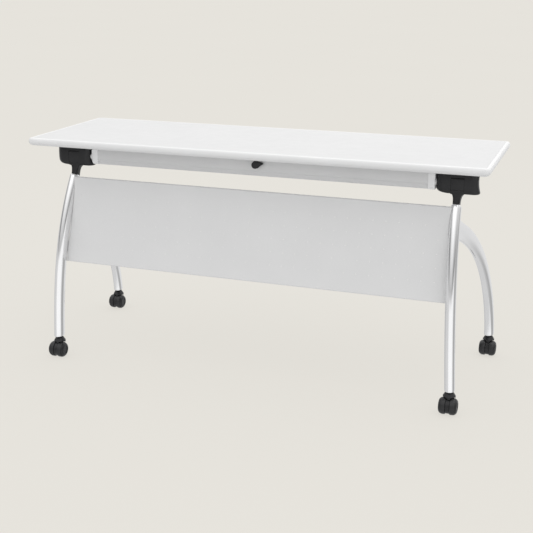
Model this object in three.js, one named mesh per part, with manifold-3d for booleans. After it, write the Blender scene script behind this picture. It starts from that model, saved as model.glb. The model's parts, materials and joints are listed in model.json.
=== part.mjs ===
// Flip top training table: a tilting top on a cross beam between two chromed leg frames on casters.
// Millimetres, +Z up, +X along the table, -Y the side with the modesty panel.

import * as THREE from 'three';
import { mergeVertices } from 'three/addons/utils/BufferGeometryUtils.js';
import Module from 'manifold-3d';

const wasm = await Module();
wasm.setup();

// Top board
const topLength = 1420;
const topDepth = 456;
const tableHeight = 712;
const topThickness = 25;
const topCornerRadius = 14;
const edgeBandWidth = 12;
const edgeRounding = 10;

// Flip axis, measured from the top's front edge and from its underside
const pivotSetback = 128;
const pivotDrop = 45;
const flipAngle = THREE.MathUtils.degToRad(75);

// Fits: seatGap between fixed pieces, runningGap between pieces that turn or slide on each other
const seatGap = 0.3;
const runningGap = 0.35;

// How far a cutting or joining shape reaches past what it cuts or joins
const overshoot = 1;

// Leg tubes and their curves
const legInset = 101;
const legWidth = 30;
const legDepth = 42;
const legWall = 2;
const boreRunOut = 5;
const legTopDrop = 59.5;
const legTopForward = 19.3;
const frontFootSplay = 28.5;
const frontFootForward = 2.4;
const frontLegFootPull = 170.5;
const frontLegTopPullForward = 102;
const frontLegTopPullDown = 170.3;
const rearRootDrop = 62.5;
const rearRootWidth = 26;
const rearRootDepth = 54;
const rearFootSplay = 73;
const rearFootBehind = 29.5;
const rearRootReach = 355;
const rearRootFall = 109;
const rearFootPull = 47;

// Leg head: the neck with the pivot eye on top of each front leg
const headWidth = 20;
const headEyeRadius = 20;
const headNeckDepth = 27;
const headPlugLength = 34;
const headBevel = 3;

// Pivot pin, bracket and lock plate
const pinRadius = 7.5;
const pinHeadRadius = 12;
const pinHeadThickness = 3;
const bracketThickness = 4;
const bracketLength = 86;
const bracketDepth = 42;
const earRadius = 20;
const lockPlateRadius = 19.5;
const lockPlateThickness = 4;

// Hinge cover, with well rounded ends
const coverLength = 125;
const coverDepth = 50;
const coverHeight = 73;
const coverEndRadius = 22;
const coverWall = 3;
const coverBevel = 4;
const coverCornerRun = 26;
const coverCornerRise = 18;
const coverWaist = 3;
const coverSlotMargin = 4;
const coverSideGap = 1;

// Cross beam with its end collars, and the pads on it where the level top comes to rest
const beamHeight = 52;
const beamSectionDepth = 36;
const beamRise = 5;
const beamCorner = 9;
const beamWall = 2.5;
const collarLength = 20;
const collarProud = 1;
const collarPlugLength = 24;
const collarBossRadius = 19.5;
const collarBossLength = 16;
const restPadLength = 40;
const restPadDepth = 8;
const restPadInset = 60;
const restPadCorner = 2;

// Release knob, crank and lock rods
const knobOffset = 9;
const knobRise = 15;
const knobRadius = 11;
const knobHeight = 6;
const leverHeight = 5;
const leverReach = 24;
const leverRise = 5;
const leverTip = 3.5;
const bezelRadius = 12;
const bezelThickness = 2;
const bushRadius = 8;
const spindleRadius = 5;
const crankRadius = 11.5;
const crankThickness = 4;
const crankThrow = 8;
const crankPinRadius = 2.5;
const crankPinLength = 8;
const crankSetback = 8;
const knobAngle = THREE.MathUtils.degToRad(45);
const rodRadius = 3;
const rodRise = 14;
const yokeThickness = 4;
const yokeGap = 1.2;
const yokeWall = 2;
const yokeWidth = 14;
const yokeColumn = 8;

// Modesty panel and its brackets
const panelTopDrop = 60;
const panelTopForward = 44;
const panelDrop = 266;
const panelRake = 56;
const panelThickness = 1.5;
const panelFlange = 14;
const panelSideGap = 1.5;
const panelHolePitch = 38;
const panelRowPitch = 40;
const panelHoleRadius = 1.5;
const panelHoleMargin = 16;
const panelRowMargin = 44;
const panelBracketInset = 48;
const panelBracketHeight = 36;
const panelBracketReach = 30;
const panelBracketThickness = 2.5;
const panelBracketShort = 4;

// Casters: domed twin wheels under a small flared cap
const wheelRadius = 25;
const wheelWidth = 20.5;
const wheelTread = 8;
const wheelInnerRounding = 2;
const hubRadius = 13;
const hubRecess = 2;
const axleRadius = 4;
const webRadius = 22;
const webThickness = 11;
const wheelSideGap = 0.8;
const hoodGap = 1.5;
const casterTrail = 12;
const casterNeckRadius = 11;
const casterNeckHeight = 64.5;
const casterCapRadius = 18.5;
const casterCapEdge = 1.5;
const casterCapDepth = 7;
const stemRadius = 5;
const stemLength = 50;
const stemSeat = 15;
const footBossHeight = 3;
const footBossInset = 5;
const footSocketLength = 38;

// Facets
const tubeSides = 14;
const frontLegSteps = 9;
const rearLegSteps = 12;
const roundSides = 16;
const wheelSides = 18;
const domeSteps = 4;
const hoodSides = 24;
const panelHoleSides = 6;
const cornerSegments = 4;

// Places that follow from the driving dimensions
const underside = tableHeight - topThickness;
const pivotY = -topDepth / 2 + pivotSetback;
const pivotZ = underside - pivotDrop;
const legTopX = topLength / 2 - legInset;
const legTopY = pivotY - legTopForward;
const legTopZ = pivotZ - legTopDrop;
const beamZ = pivotZ + beamRise;
const footSocketZ = casterNeckHeight + seatGap;
const legEndZ = footSocketZ + footBossHeight + seatGap;
const frontFootX = legTopX + frontFootSplay;
const frontFootY = -topDepth / 2 - frontFootForward;
const rearFootX = legTopX + rearFootSplay;
const rearFootY = topDepth / 2 + rearFootBehind;
const axleZ = wheelRadius * Math.cos(Math.PI / wheelSides);

const X_AXIS = new THREE.Vector3(1, 0, 0);
const Y_AXIS = new THREE.Vector3(0, 1, 0);
const Z_AXIS = new THREE.Vector3(0, 0, 1);

// Materials
function finish(color, roughness, metalness) {
  return new THREE.MeshStandardMaterial({ color, roughness, metalness });
}
const laminate = finish(0xededed, 0.45, 0);
const edgePlastic = finish(0xe4e4e4, 0.4, 0);
const blackPlastic = finish(0x2b2b2f, 0.5, 0);
const chrome = finish(0xe6e7ea, 0.12, 1);
const silverPaint = finish(0xb9babd, 0.45, 0.3);
const lightCasting = finish(0xd6d6d6, 0.45, 0.2);
const panelPaint = finish(0xcacacb, 0.5, 0.1);
const zincSteel = finish(0xa8abb0, 0.35, 0.9);
const wheelRubber = finish(0x242427, 0.7, 0);

// Boolean helpers: every solid passes through them as a closed mesh with merged vertices
function bare(geometry) {
  const plain = geometry.clone();
  plain.deleteAttribute('normal');
  plain.deleteAttribute('uv');
  return plain;
}

function toSolid(geometry) {
  const merged = mergeVertices(bare(geometry));
  const index = merged.index.array;
  const kept = [];
  for (let i = 0; i < index.length; i += 3) {
    const [a, b, c] = [index[i], index[i + 1], index[i + 2]];
    if (a !== b && b !== c && c !== a) kept.push(a, b, c);
  }
  const vertProperties = new Float32Array(merged.attributes.position.array);
  const triVerts = new Uint32Array(kept);
  return new wasm.Manifold(new wasm.Mesh({ numProp: 3, vertProperties, triVerts }));
}

function toGeometry(solid) {
  const mesh = solid.getMesh();
  const geometry = new THREE.BufferGeometry();
  geometry.setAttribute('position', new THREE.BufferAttribute(mesh.vertProperties, 3));
  geometry.setIndex(new THREE.BufferAttribute(mesh.triVerts, 1));
  geometry.computeVertexNormals();
  return geometry;
}

function cut(body, ...tools) {
  return toGeometry(tools.reduce((solid, tool) => solid.subtract(toSolid(tool)), toSolid(body)));
}

function join(body, ...others) {
  return toGeometry(others.reduce((solid, other) => solid.add(toSolid(other)), toSolid(body)));
}

function common(body, other) {
  return toGeometry(toSolid(body).intersect(toSolid(other)));
}

// The same piece for the other side of the table
function mirrored(geometry) {
  const copy = geometry.clone();
  const position = copy.attributes.position;
  for (let i = 0; i < position.count; i += 1) position.setX(i, -position.getX(i));
  const index = copy.index.array;
  for (let i = 0; i < index.length; i += 3) {
    const first = index[i];
    index[i] = index[i + 1];
    index[i + 1] = first;
  }
  copy.computeVertexNormals();
  return copy;
}

// Shape helpers
function roundedRectangle(width, height, radius) {
  const x = width / 2;
  const y = height / 2;
  const shape = new THREE.Shape();
  shape.moveTo(-x + radius, -y);
  shape.lineTo(x - radius, -y);
  shape.absarc(x - radius, -y + radius, radius, -Math.PI / 2, 0);
  shape.lineTo(x, y - radius);
  shape.absarc(x - radius, y - radius, radius, 0, Math.PI / 2);
  shape.lineTo(-x + radius, y);
  shape.absarc(-x + radius, y - radius, radius, Math.PI / 2, Math.PI);
  shape.lineTo(-x, -y + radius);
  shape.absarc(-x + radius, -y + radius, radius, Math.PI, Math.PI * 1.5);
  return shape;
}

function polygon(points) {
  return new THREE.Shape(points.map(([x, y]) => new THREE.Vector2(x, y)));
}

function extrude(shape, depth, bevel = 0, segments = cornerSegments) {
  return new THREE.ExtrudeGeometry(shape, {
    depth: depth - 2 * bevel,
    curveSegments: segments,
    steps: 1,
    bevelEnabled: bevel > 0,
    bevelThickness: bevel,
    bevelSize: bevel,
    bevelOffset: -bevel,
    bevelSegments: 2,
  }).translate(0, 0, bevel);
}

// A (y, z) outline pushed from x0 to x1
function alongX(shape, x0, x1, bevel, segments) {
  const basis = new THREE.Matrix4().makeBasis(Y_AXIS, Z_AXIS, X_AXIS);
  return extrude(shape, x1 - x0, bevel, segments).applyMatrix4(basis).translate(x0, 0, 0);
}

// An (x, z) outline pushed from y0 to y1
function alongY(shape, y0, y1, bevel, segments) {
  const basis = new THREE.Matrix4().makeBasis(X_AXIS, Z_AXIS, Y_AXIS.clone().negate());
  return extrude(shape, y1 - y0, bevel, segments).applyMatrix4(basis).translate(0, y1, 0);
}

function box(x0, x1, y0, y1, z0, z1) {
  const geometry = new THREE.BoxGeometry(x1 - x0, y1 - y0, z1 - z0);
  return geometry.translate((x0 + x1) / 2, (y0 + y1) / 2, (z0 + z1) / 2);
}

// A round bar along a direction, starting at the given point
function bar(axis, radius, start, length, sides = roundSides) {
  const geometry = new THREE.CylinderGeometry(radius, radius, length, sides).translate(0, length / 2, 0);
  const turn = new THREE.Quaternion().setFromUnitVectors(Y_AXIS, axis);
  return geometry.applyQuaternion(turn).translate(...start);
}

// A hole that clears a round bar of the same number of sides at every angle
function holeRadius(radius, gap, sides = roundSides) {
  return (radius + gap) / Math.cos(Math.PI / sides);
}

// A turned piece about X or Z from (radius, height) points
function turned(axis, points, sides = roundSides) {
  const profile = points.map(([radius, height]) => new THREE.Vector2(radius, height));
  const turn = new THREE.Quaternion().setFromUnitVectors(Y_AXIS, axis);
  return new THREE.LatheGeometry(profile, sides).applyQuaternion(turn);
}

// An oval solid swept along a plane curve of (run, rise); width and depth go from the start to the end.
// With a run-out, both ends go on straight by that length.
function sweepOval(curve, frame, widths, depths, steps, runOut = 0) {
  const stations = [];
  for (let step = 0; step <= steps; step += 1) {
    const share = step / steps;
    stations.push({
      centre: curve.getPoint(share),
      tangent: curve.getTangent(share),
      halfWidth: THREE.MathUtils.lerp(widths[0], widths[1], share) / 2,
      halfDepth: THREE.MathUtils.lerp(depths[0], depths[1], share) / 2,
    });
  }
  if (runOut > 0) {
    const first = stations[0];
    const last = stations[steps];
    stations.unshift({ ...first, centre: first.centre.clone().addScaledVector(first.tangent, -runOut) });
    stations.push({ ...last, centre: last.centre.clone().addScaledVector(last.tangent, runOut) });
  }
  const positions = [];
  for (const { centre, tangent, halfWidth, halfDepth } of stations) {
    for (let side = 0; side < tubeSides; side += 1) {
      const angle = (side / tubeSides) * 2 * Math.PI;
      const off = halfDepth * Math.sin(angle);
      const point = frame.origin.clone();
      point.addScaledVector(frame.side, halfWidth * Math.cos(angle));
      point.addScaledVector(frame.run, centre.x - tangent.y * off);
      point.addScaledVector(frame.rise, centre.y + tangent.x * off);
      positions.push(point.x, point.y, point.z);
    }
  }
  const index = [];
  for (let a = 0; a < positions.length / 3 - tubeSides; a += 1) {
    const b = (a + 1) % tubeSides === 0 ? a + 1 - tubeSides : a + 1;
    index.push(a, b, a + tubeSides, b, b + tubeSides, a + tubeSides);
  }
  const last = positions.length / 3 - tubeSides;
  for (let side = 1; side < tubeSides - 1; side += 1) {
    index.push(0, side + 1, side);
    index.push(last, last + side, last + side + 1);
  }
  const geometry = new THREE.BufferGeometry();
  geometry.setAttribute('position', new THREE.Float32BufferAttribute(positions, 3));
  geometry.setIndex(index);
  return outward(geometry);
}

// Turns a closed mesh right side out
function outward(geometry) {
  const position = geometry.attributes.position;
  const index = geometry.index.array;
  const [a, b, c] = [new THREE.Vector3(), new THREE.Vector3(), new THREE.Vector3()];
  let volume = 0;
  for (let i = 0; i < index.length; i += 3) {
    a.fromBufferAttribute(position, index[i]);
    b.fromBufferAttribute(position, index[i + 1]);
    c.fromBufferAttribute(position, index[i + 2]);
    volume += a.dot(b.cross(c));
  }
  if (volume < 0) {
    for (let i = 0; i < index.length; i += 3) {
      const first = index[i];
      index[i] = index[i + 1];
      index[i + 1] = first;
    }
  }
  geometry.computeVertexNormals();
  return geometry;
}

// Scene graph
const table = new THREE.Group();
const base = new THREE.Group();
const top = new THREE.Group();
const lock = new THREE.Group();
table.add(base, top, lock);

function addPiece(group, name, geometry, material) {
  const mesh = new THREE.Mesh(geometry, material);
  mesh.name = name;
  group.add(mesh);
  return mesh;
}

// A right-hand piece and its mirror image
function addPair(group, name, geometry, material) {
  addPiece(group, `right_${name}`, geometry, material);
  addPiece(group, `left_${name}`, mirrored(geometry), material);
}

// Top board with its rounded edge band
function makeTop() {
  const slabShape = roundedRectangle(topLength, topDepth, topCornerRadius);
  const slab = extrude(slabShape, topThickness, edgeRounding).translate(0, 0, underside);
  const coreLength = topLength - 2 * edgeBandWidth;
  const coreDepth = topDepth - 2 * edgeBandWidth;
  const coreRadius = topCornerRadius - edgeBandWidth;
  const coreShape = roundedRectangle(coreLength, coreDepth, coreRadius);
  const holeShape = roundedRectangle(coreLength + 2 * seatGap, coreDepth + 2 * seatGap, coreRadius + seatGap);
  const hole = extrude(holeShape, 3 * topThickness).translate(0, 0, underside - topThickness);
  addPiece(top, 'table_top', extrude(coreShape, topThickness).translate(0, 0, underside), laminate);
  addPiece(top, 'edge_band', cut(slab, hole), edgePlastic);
}

// Each leg is an oval tube along a plane curve of (run, rise)
function tube(leg, grow) {
  const widths = leg.widths.map((width) => width + 2 * grow);
  const depths = leg.depths.map((depth) => depth + 2 * grow);
  return sweepOval(leg.curve, leg.frame, widths, depths, leg.steps);
}

// The room inside a leg's tube, drawn out straight past both of its ends
function bore(leg, grow) {
  const widths = leg.widths.map((width) => width - 2 * legWall + 2 * grow);
  const depths = leg.depths.map((depth) => depth - 2 * legWall + 2 * grow);
  return sweepOval(leg.curve, leg.frame, widths, depths, leg.steps, boreRunOut);
}

// Front leg: a curve in (y, z) that also leans outwards towards the foot
const leanPerRise = (frontFootX - legTopX) / (legTopZ - legEndZ);

function frontLegX(z) {
  return legTopX + (legTopZ - z) * leanPerRise;
}

const frontLeg = {
  curve: new THREE.CubicBezierCurve(
    new THREE.Vector2(frontFootY, legEndZ),
    new THREE.Vector2(frontFootY, legEndZ + frontLegFootPull),
    new THREE.Vector2(legTopY - frontLegTopPullForward, legTopZ - frontLegTopPullDown),
    new THREE.Vector2(legTopY, legTopZ),
  ),
  frame: {
    origin: new THREE.Vector3(frontLegX(0), 0, 0),
    side: X_AXIS,
    run: Y_AXIS,
    rise: new THREE.Vector3(-leanPerRise, 0, 1),
  },
  widths: [legWidth, legWidth],
  depths: [legDepth, legDepth],
  steps: frontLegSteps,
};

// The point of the front leg's centre line at a height, found by halving
function frontLegAtHeight(z) {
  let low = 0;
  let high = 1;
  for (let i = 0; i < 40; i += 1) {
    const middle = (low + high) / 2;
    if (frontLeg.curve.getPoint(middle).y < z) low = middle;
    else high = middle;
  }
  return new THREE.Vector3(frontLegX(z), frontLeg.curve.getPoint(low).x, z);
}

// Rear leg: a curve in the upright plane from the front leg to the rear foot
function planRearLeg() {
  const root = frontLegAtHeight(legTopZ - rearRootDrop);
  const run = new THREE.Vector3(rearFootX - root.x, rearFootY - root.y, 0);
  const reach = run.length();
  run.normalize();
  return {
    curve: new THREE.CubicBezierCurve(
      new THREE.Vector2(0, root.z),
      new THREE.Vector2(rearRootReach, root.z - rearRootFall),
      new THREE.Vector2(reach, legEndZ + rearFootPull),
      new THREE.Vector2(reach, legEndZ),
    ),
    frame: {
      origin: new THREE.Vector3(root.x, root.y, 0),
      side: new THREE.Vector3(run.y, -run.x, 0),
      run,
      rise: Z_AXIS,
    },
    widths: [rearRootWidth, legWidth],
    depths: [rearRootDepth, legDepth],
    steps: rearLegSteps,
  };
}

const rearLeg = planRearLeg();

function makeLegs() {
  addPair(base, 'front_leg', cut(tube(frontLeg, 0), bore(frontLeg, 0)), chrome);
  addPair(base, 'rear_leg', cut(tube(rearLeg, 0), bore(rearLeg, 0), tube(frontLeg, seatGap)), chrome);
}

// Neck of the leg head, as (y, z) corners: front and back at the pivot and at the leg's end
function planNeck() {
  const tangent = frontLeg.curve.getTangent(1);
  const end = new THREE.Vector2(legTopY, legTopZ).addScaledVector(tangent, seatGap);
  const endBack = new THREE.Vector2(tangent.y, -tangent.x);
  const pivot = new THREE.Vector2(pivotY, pivotZ);
  const towards = pivot.clone().sub(end).normalize();
  const pivotBack = new THREE.Vector2(towards.y, -towards.x);
  const half = headNeckDepth / 2;
  return {
    tangent,
    end,
    pivotFront: pivot.clone().addScaledVector(pivotBack, -half),
    pivotBack: pivot.clone().addScaledVector(pivotBack, half),
    endFront: end.clone().addScaledVector(endBack, -half),
    endBack: end.clone().addScaledVector(endBack, half),
  };
}

const neck = planNeck();

// Leg head: pivot eye, neck and the plug inside the front leg's tube
function makeLegHeads() {
  const x0 = legTopX - headWidth / 2;
  const x1 = legTopX + headWidth / 2;
  const eye = new THREE.Shape().absarc(pivotY, pivotZ, headEyeRadius, 0, 2 * Math.PI);
  const blade = new THREE.Shape([neck.pivotFront, neck.endFront, neck.endBack, neck.pivotBack]);
  const plugFoot = neck.end.clone().addScaledVector(neck.tangent, -headPlugLength);
  const plugHead = neck.end.clone().addScaledVector(neck.tangent, headBevel);
  const plugLine = new THREE.LineCurve(plugFoot, plugHead);
  const blockWidth = 2 * legWidth;
  const blockDepth = 2 * legDepth;
  const block = sweepOval(plugLine, frontLeg.frame, [blockWidth, blockWidth], [blockDepth, blockDepth], 1);
  const plug = common(block, bore(frontLeg, -seatGap));
  const eyeBore = bar(X_AXIS, holeRadius(pinRadius, seatGap), [x0 - overshoot, pivotY, pivotZ],
    headWidth + 2 * overshoot);
  const solid = join(alongX(eye, x0, x1, headBevel, 6), alongX(blade, x0, x1, headBevel), plug);
  addPair(base, 'leg_head', cut(solid, eyeBore), blackPlastic);
}

// Positions along X at the right-hand end of the beam, from the middle of the table outwards
const coverInnerX = legTopX - coverLength / 2;
const coverOuterX = legTopX + coverLength / 2;
const collarEndX = coverInnerX - coverSideGap;
const collarStartX = collarEndX - collarLength;
const bossEndX = collarEndX + collarBossLength;
const lockPlateX = bossEndX + runningGap;
const innerEarX = lockPlateX + lockPlateThickness + seatGap;
const outerEarX = innerEarX + bracketLength - bracketThickness;
const pinHeadX = outerEarX + bracketThickness + runningGap;

// Height and depth of the lock rods, relative to the flip axis
const beamFrontY = pivotY - beamSectionDepth / 2;
const crankFrontY = beamFrontY + crankSetback;
const crankBackY = crankFrontY + crankThickness;
const yokeFrontY = crankBackY + yokeGap;
const rodY = yokeFrontY + yokeThickness / 2;
const rodZ = pivotZ + rodRise;
const knobZ = pivotZ + knobRise;

// The two places of the lock rod in the turning plates: top level, and top flipped
function lockHoles(radius, x0, length) {
  const level = new THREE.Vector2(rodY - pivotY, rodZ - pivotZ);
  const flipped = level.clone().rotateAround(new THREE.Vector2(), -flipAngle);
  return [level, flipped].map((at) => bar(X_AXIS, radius, [x0, pivotY + at.x, pivotZ + at.y], length));
}

function makeHinges() {
  const half = bracketDepth / 2;
  const bracketTop = underside - seatGap;
  const ear = new THREE.Shape();
  ear.moveTo(pivotY + earRadius, bracketTop);
  ear.lineTo(pivotY - earRadius, bracketTop);
  ear.absarc(pivotY, pivotZ, earRadius, Math.PI, 2 * Math.PI);
  const bracketEnd = outerEarX + bracketThickness;
  const plateFoot = bracketTop - bracketThickness;
  const plate = box(innerEarX, bracketEnd, pivotY - half, pivotY + half, plateFoot, bracketTop);
  const holeX = innerEarX - overshoot;
  const pinHole = bar(X_AXIS, holeRadius(pinRadius, runningGap), [holeX, pivotY, pivotZ],
    bracketLength + 2 * overshoot);
  const rodHoles = lockHoles(holeRadius(rodRadius, 2 * runningGap), holeX, bracketThickness + 2 * overshoot);
  const bracket = join(
    plate,
    alongX(ear, innerEarX, innerEarX + bracketThickness),
    alongX(ear, outerEarX, bracketEnd),
  );
  addPair(top, 'hinge_bracket', cut(bracket, pinHole, ...rodHoles), zincSteel);

  const lockDisc = bar(X_AXIS, lockPlateRadius, [lockPlateX, pivotY, pivotZ], lockPlateThickness);
  const discX = lockPlateX - overshoot;
  const discReach = lockPlateThickness + 2 * overshoot;
  const discHole = bar(X_AXIS, holeRadius(pinRadius, runningGap), [discX, pivotY, pivotZ], discReach);
  const discLocks = lockHoles(holeRadius(rodRadius, runningGap), discX, discReach);
  addPair(top, 'lock_plate', cut(lockDisc, discHole, ...discLocks), zincSteel);

  const pinStartX = collarStartX - collarPlugLength;
  const shank = bar(X_AXIS, pinRadius, [pinStartX, pivotY, pivotZ], pinHeadX - pinStartX);
  const cap = bar(X_AXIS, pinHeadRadius, [pinHeadX, pivotY, pivotZ], pinHeadThickness);
  addPair(base, 'pivot_pin', join(shank, cap), zincSteel);
}

// Front outline of a hinge cover in (x, z), with one lower corner cut off and the other end waisted
function coverOutline(centreX, inset, extraTop) {
  const left = centreX - coverLength / 2 + inset;
  const right = centreX + coverLength / 2 - inset;
  const zTop = underside - seatGap + extraTop;
  const zBottom = underside - seatGap - coverHeight + inset;
  const shape = new THREE.Shape();
  shape.moveTo(left, zTop);
  shape.lineTo(left, zBottom + coverCornerRise);
  shape.quadraticCurveTo(left, zBottom, left + coverCornerRun, zBottom);
  shape.lineTo(right, zBottom);
  shape.quadraticCurveTo(right - 2 * coverWaist, (zBottom + zTop) / 2, right, zTop);
  return shape;
}

// Height of the line through two points where it passes a given y
function heightAt(a, b, y) {
  return a.y + ((b.y - a.y) * (y - a.x)) / (b.x - a.x);
}

// How far the neck reaches in the cover: back at its floor when level, up its front wall when flipped
function coverSlot(sideX) {
  const pivot = new THREE.Vector2(pivotY, pivotZ);
  const floor = underside - seatGap - coverHeight;
  const share = (floor - neck.pivotBack.y) / (neck.endBack.y - neck.pivotBack.y);
  const back = neck.pivotBack.clone().lerp(neck.endBack, share).x + coverSlotMargin;
  const upper = neck.pivotFront.clone().rotateAround(pivot, -flipAngle);
  const lower = neck.endFront.clone().rotateAround(pivot, -flipAngle);
  const front = pivotY - coverDepth / 2;
  const rise = heightAt(upper, lower, front) + coverSlotMargin;
  const half = legWidth / 2 + coverSlotMargin;
  return box(sideX - half, sideX + half, front - coverWall, back, floor - coverWall, rise);
}

// A cover's bulk: its rounded plan and its front outline, both drawn in by the inset
function coverBulk(centreX, inset, extraTop, bevel) {
  const floor = underside - seatGap - coverHeight + inset;
  const plan = roundedRectangle(coverLength - 2 * inset, coverDepth - 2 * inset, coverEndRadius - inset);
  const column = extrude(plan, coverHeight + extraTop + coverBevel, bevel).translate(centreX, pivotY, floor);
  const outline = coverOutline(centreX, inset, extraTop);
  return common(column, alongY(outline, pivotY - coverDepth, pivotY + coverDepth, 0, 5));
}

function makeCover(name, side) {
  const centreX = side * legTopX;
  const shell = coverBulk(centreX, 0, 0, coverBevel);
  const room = coverBulk(centreX, coverWall, coverBevel, 0);
  const holeX = side > 0 ? coverInnerX - overshoot : -coverInnerX - coverEndRadius;
  const bossHole = bar(X_AXIS, holeRadius(collarBossRadius, coverSideGap), [holeX, pivotY, pivotZ],
    coverEndRadius + overshoot);
  addPiece(top, name, cut(shell, room, coverSlot(centreX), bossHole), blackPlastic);
}

// Cross beam: a hollow section between the two collars
function beamSection(inset) {
  return roundedRectangle(beamSectionDepth - 2 * inset, beamHeight - 2 * inset, beamCorner - inset);
}

function makeBeam() {
  const end = collarStartX - seatGap;
  const section = beamSection(0);
  section.holes.push(beamSection(beamWall));
  const tubeBody = alongX(section, -end, end).translate(0, pivotY, beamZ);
  const knobHole = bar(Y_AXIS, holeRadius(bushRadius, seatGap), [knobOffset, beamFrontY - overshoot, knobZ],
    beamWall + 2 * overshoot);
  addPiece(base, 'cross_beam', cut(tubeBody, knobHole), silverPaint);

  const padFoot = beamZ + beamHeight / 2 + seatGap;
  const padPlan = roundedRectangle(restPadLength, restPadDepth, restPadCorner);
  const pad = toGeometry(toSolid(extrude(padPlan, underside - runningGap - padFoot)));
  pad.translate(collarStartX - restPadInset, pivotY + restPadDepth / 2, padFoot);
  addPair(base, 'rest_pad', pad, wheelRubber);

  const plugX = collarStartX - collarPlugLength;
  const plugSection = beamSection(beamWall + seatGap);
  const plug = alongX(plugSection, plugX, collarStartX + overshoot).translate(0, pivotY, beamZ);
  const ring = alongX(beamSection(-collarProud), collarStartX, collarEndX).translate(0, pivotY, beamZ);
  const boss = bar(X_AXIS, collarBossRadius, [collarEndX - overshoot, pivotY, pivotZ],
    collarBossLength + overshoot);
  const length = bossEndX - plugX + 2 * overshoot;
  const pinHole = bar(X_AXIS, holeRadius(pinRadius, seatGap), [plugX - overshoot, pivotY, pivotZ], length);
  const rodHole = bar(X_AXIS, holeRadius(rodRadius, runningGap), [plugX - overshoot, rodY, rodZ], length);
  addPair(base, 'beam_collar', cut(join(plug, ring, boss), pinHole, rodHole), lightCasting);
}

// Release knob in its bezel, with the crank disc on its spindle
function makeKnob() {
  const bezelBack = beamFrontY - seatGap;
  const bezelFront = bezelBack - bezelThickness;
  const bushEnd = crankFrontY - runningGap;
  const flange = bar(Y_AXIS, bezelRadius, [knobOffset, bezelFront, knobZ], bezelThickness);
  const bush = bar(Y_AXIS, bushRadius, [knobOffset, bezelBack - overshoot, knobZ],
    bushEnd - bezelBack + overshoot);
  const boreStart = bezelFront - overshoot;
  const bushBore = bar(Y_AXIS, holeRadius(spindleRadius, runningGap), [knobOffset, boreStart, knobZ],
    bushEnd + overshoot - boreStart);
  addPiece(base, 'knob_bezel', cut(join(flange, bush), bushBore), blackPlastic);

  const knobBack = bezelFront - runningGap;
  const soft = knobHeight / 3;
  const cap = turned(Y_AXIS, [
    [0, 0],
    [knobRadius - soft, 0],
    [knobRadius, soft],
    [knobRadius, knobHeight],
    [0, knobHeight],
  ]).translate(knobOffset, knobBack - knobHeight, knobZ);
  const leverRoot = knobRadius - soft;
  const leverOutline = polygon([
    [knobOffset, knobZ - leverRoot],
    [knobOffset + leverReach, knobZ + leverRise - leverTip],
    [knobOffset + leverReach, knobZ + leverRise + leverTip],
    [knobOffset, knobZ + leverRoot],
  ]);
  const lever = alongY(leverOutline, knobBack - knobHeight - leverHeight, knobBack - soft, soft / 2);
  const spindle = bar(Y_AXIS, spindleRadius, [knobOffset, knobBack - overshoot, knobZ],
    crankBackY - knobBack + overshoot);
  addPiece(lock, 'release_knob', join(cap, lever, spindle), blackPlastic);

  const disc = bar(Y_AXIS, crankRadius, [knobOffset, crankFrontY, knobZ], crankThickness);
  const pinFoot = crankBackY - overshoot;
  const pins = [crankThrow, -crankThrow].map((throwZ) =>
    bar(Y_AXIS, crankPinRadius, [knobOffset, pinFoot, knobZ + throwZ], crankPinLength + overshoot),
  );
  const discFoot = crankFrontY - overshoot;
  const discBore = bar(Y_AXIS, holeRadius(spindleRadius, seatGap), [knobOffset, discFoot, knobZ],
    crankThickness + 2 * overshoot);
  addPiece(lock, 'crank_disc', join(cut(disc, discBore), ...pins), zincSteel);
}

// A lock rod with its slotted yoke, reaching out from the knob's axis along +X;
// upper is the one whose crank pin is above that axis
function lockRod(upper, reach) {
  const high = crankThrow + crankPinRadius + runningGap;
  const low = crankThrow * Math.cos(knobAngle) - crankPinRadius - runningGap;
  const half = yokeWidth / 2;
  const arm = crankRadius + yokeColumn;
  const slotHalf = crankPinRadius + runningGap;
  const flip = upper ? 1 : -1;
  const edges = [flip * (low - yokeWall), flip * (high + yokeWall)];
  const [bottom, ceiling] = [Math.min(...edges), Math.max(...edges)];
  const slotEdges = [flip * low, flip * high];
  const [slotBottom, slotTop] = [Math.min(...slotEdges), Math.max(...slotEdges)];
  const yokeBack = yokeFrontY + yokeThickness;
  const plate = box(-half, arm, yokeFrontY, yokeBack, knobZ + bottom, knobZ + ceiling);
  const columnLow = Math.min(rodZ - rodRadius, knobZ + bottom);
  const columnHigh = Math.max(rodZ + rodRadius, knobZ + ceiling);
  const column = box(half + yokeGap, arm, yokeFrontY, yokeBack, columnLow, columnHigh);
  const slot = box(-slotHalf, slotHalf, yokeFrontY - overshoot, yokeBack + overshoot,
    knobZ + slotBottom, knobZ + slotTop);
  const shaft = bar(X_AXIS, rodRadius, [arm - yokeWall, rodY, rodZ], reach - arm + yokeWall);
  return join(cut(join(plate, column), slot), shaft);
}

function makeLockRods() {
  const tip = bossEndX - runningGap;
  const right = lockRod(true, tip - knobOffset).translate(knobOffset, 0, 0);
  const left = mirrored(lockRod(false, tip + knobOffset)).translate(knobOffset, 0, 0);
  addPiece(lock, 'right_lock_rod', right, zincSteel);
  addPiece(lock, 'left_lock_rod', left, zincSteel);
}

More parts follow.
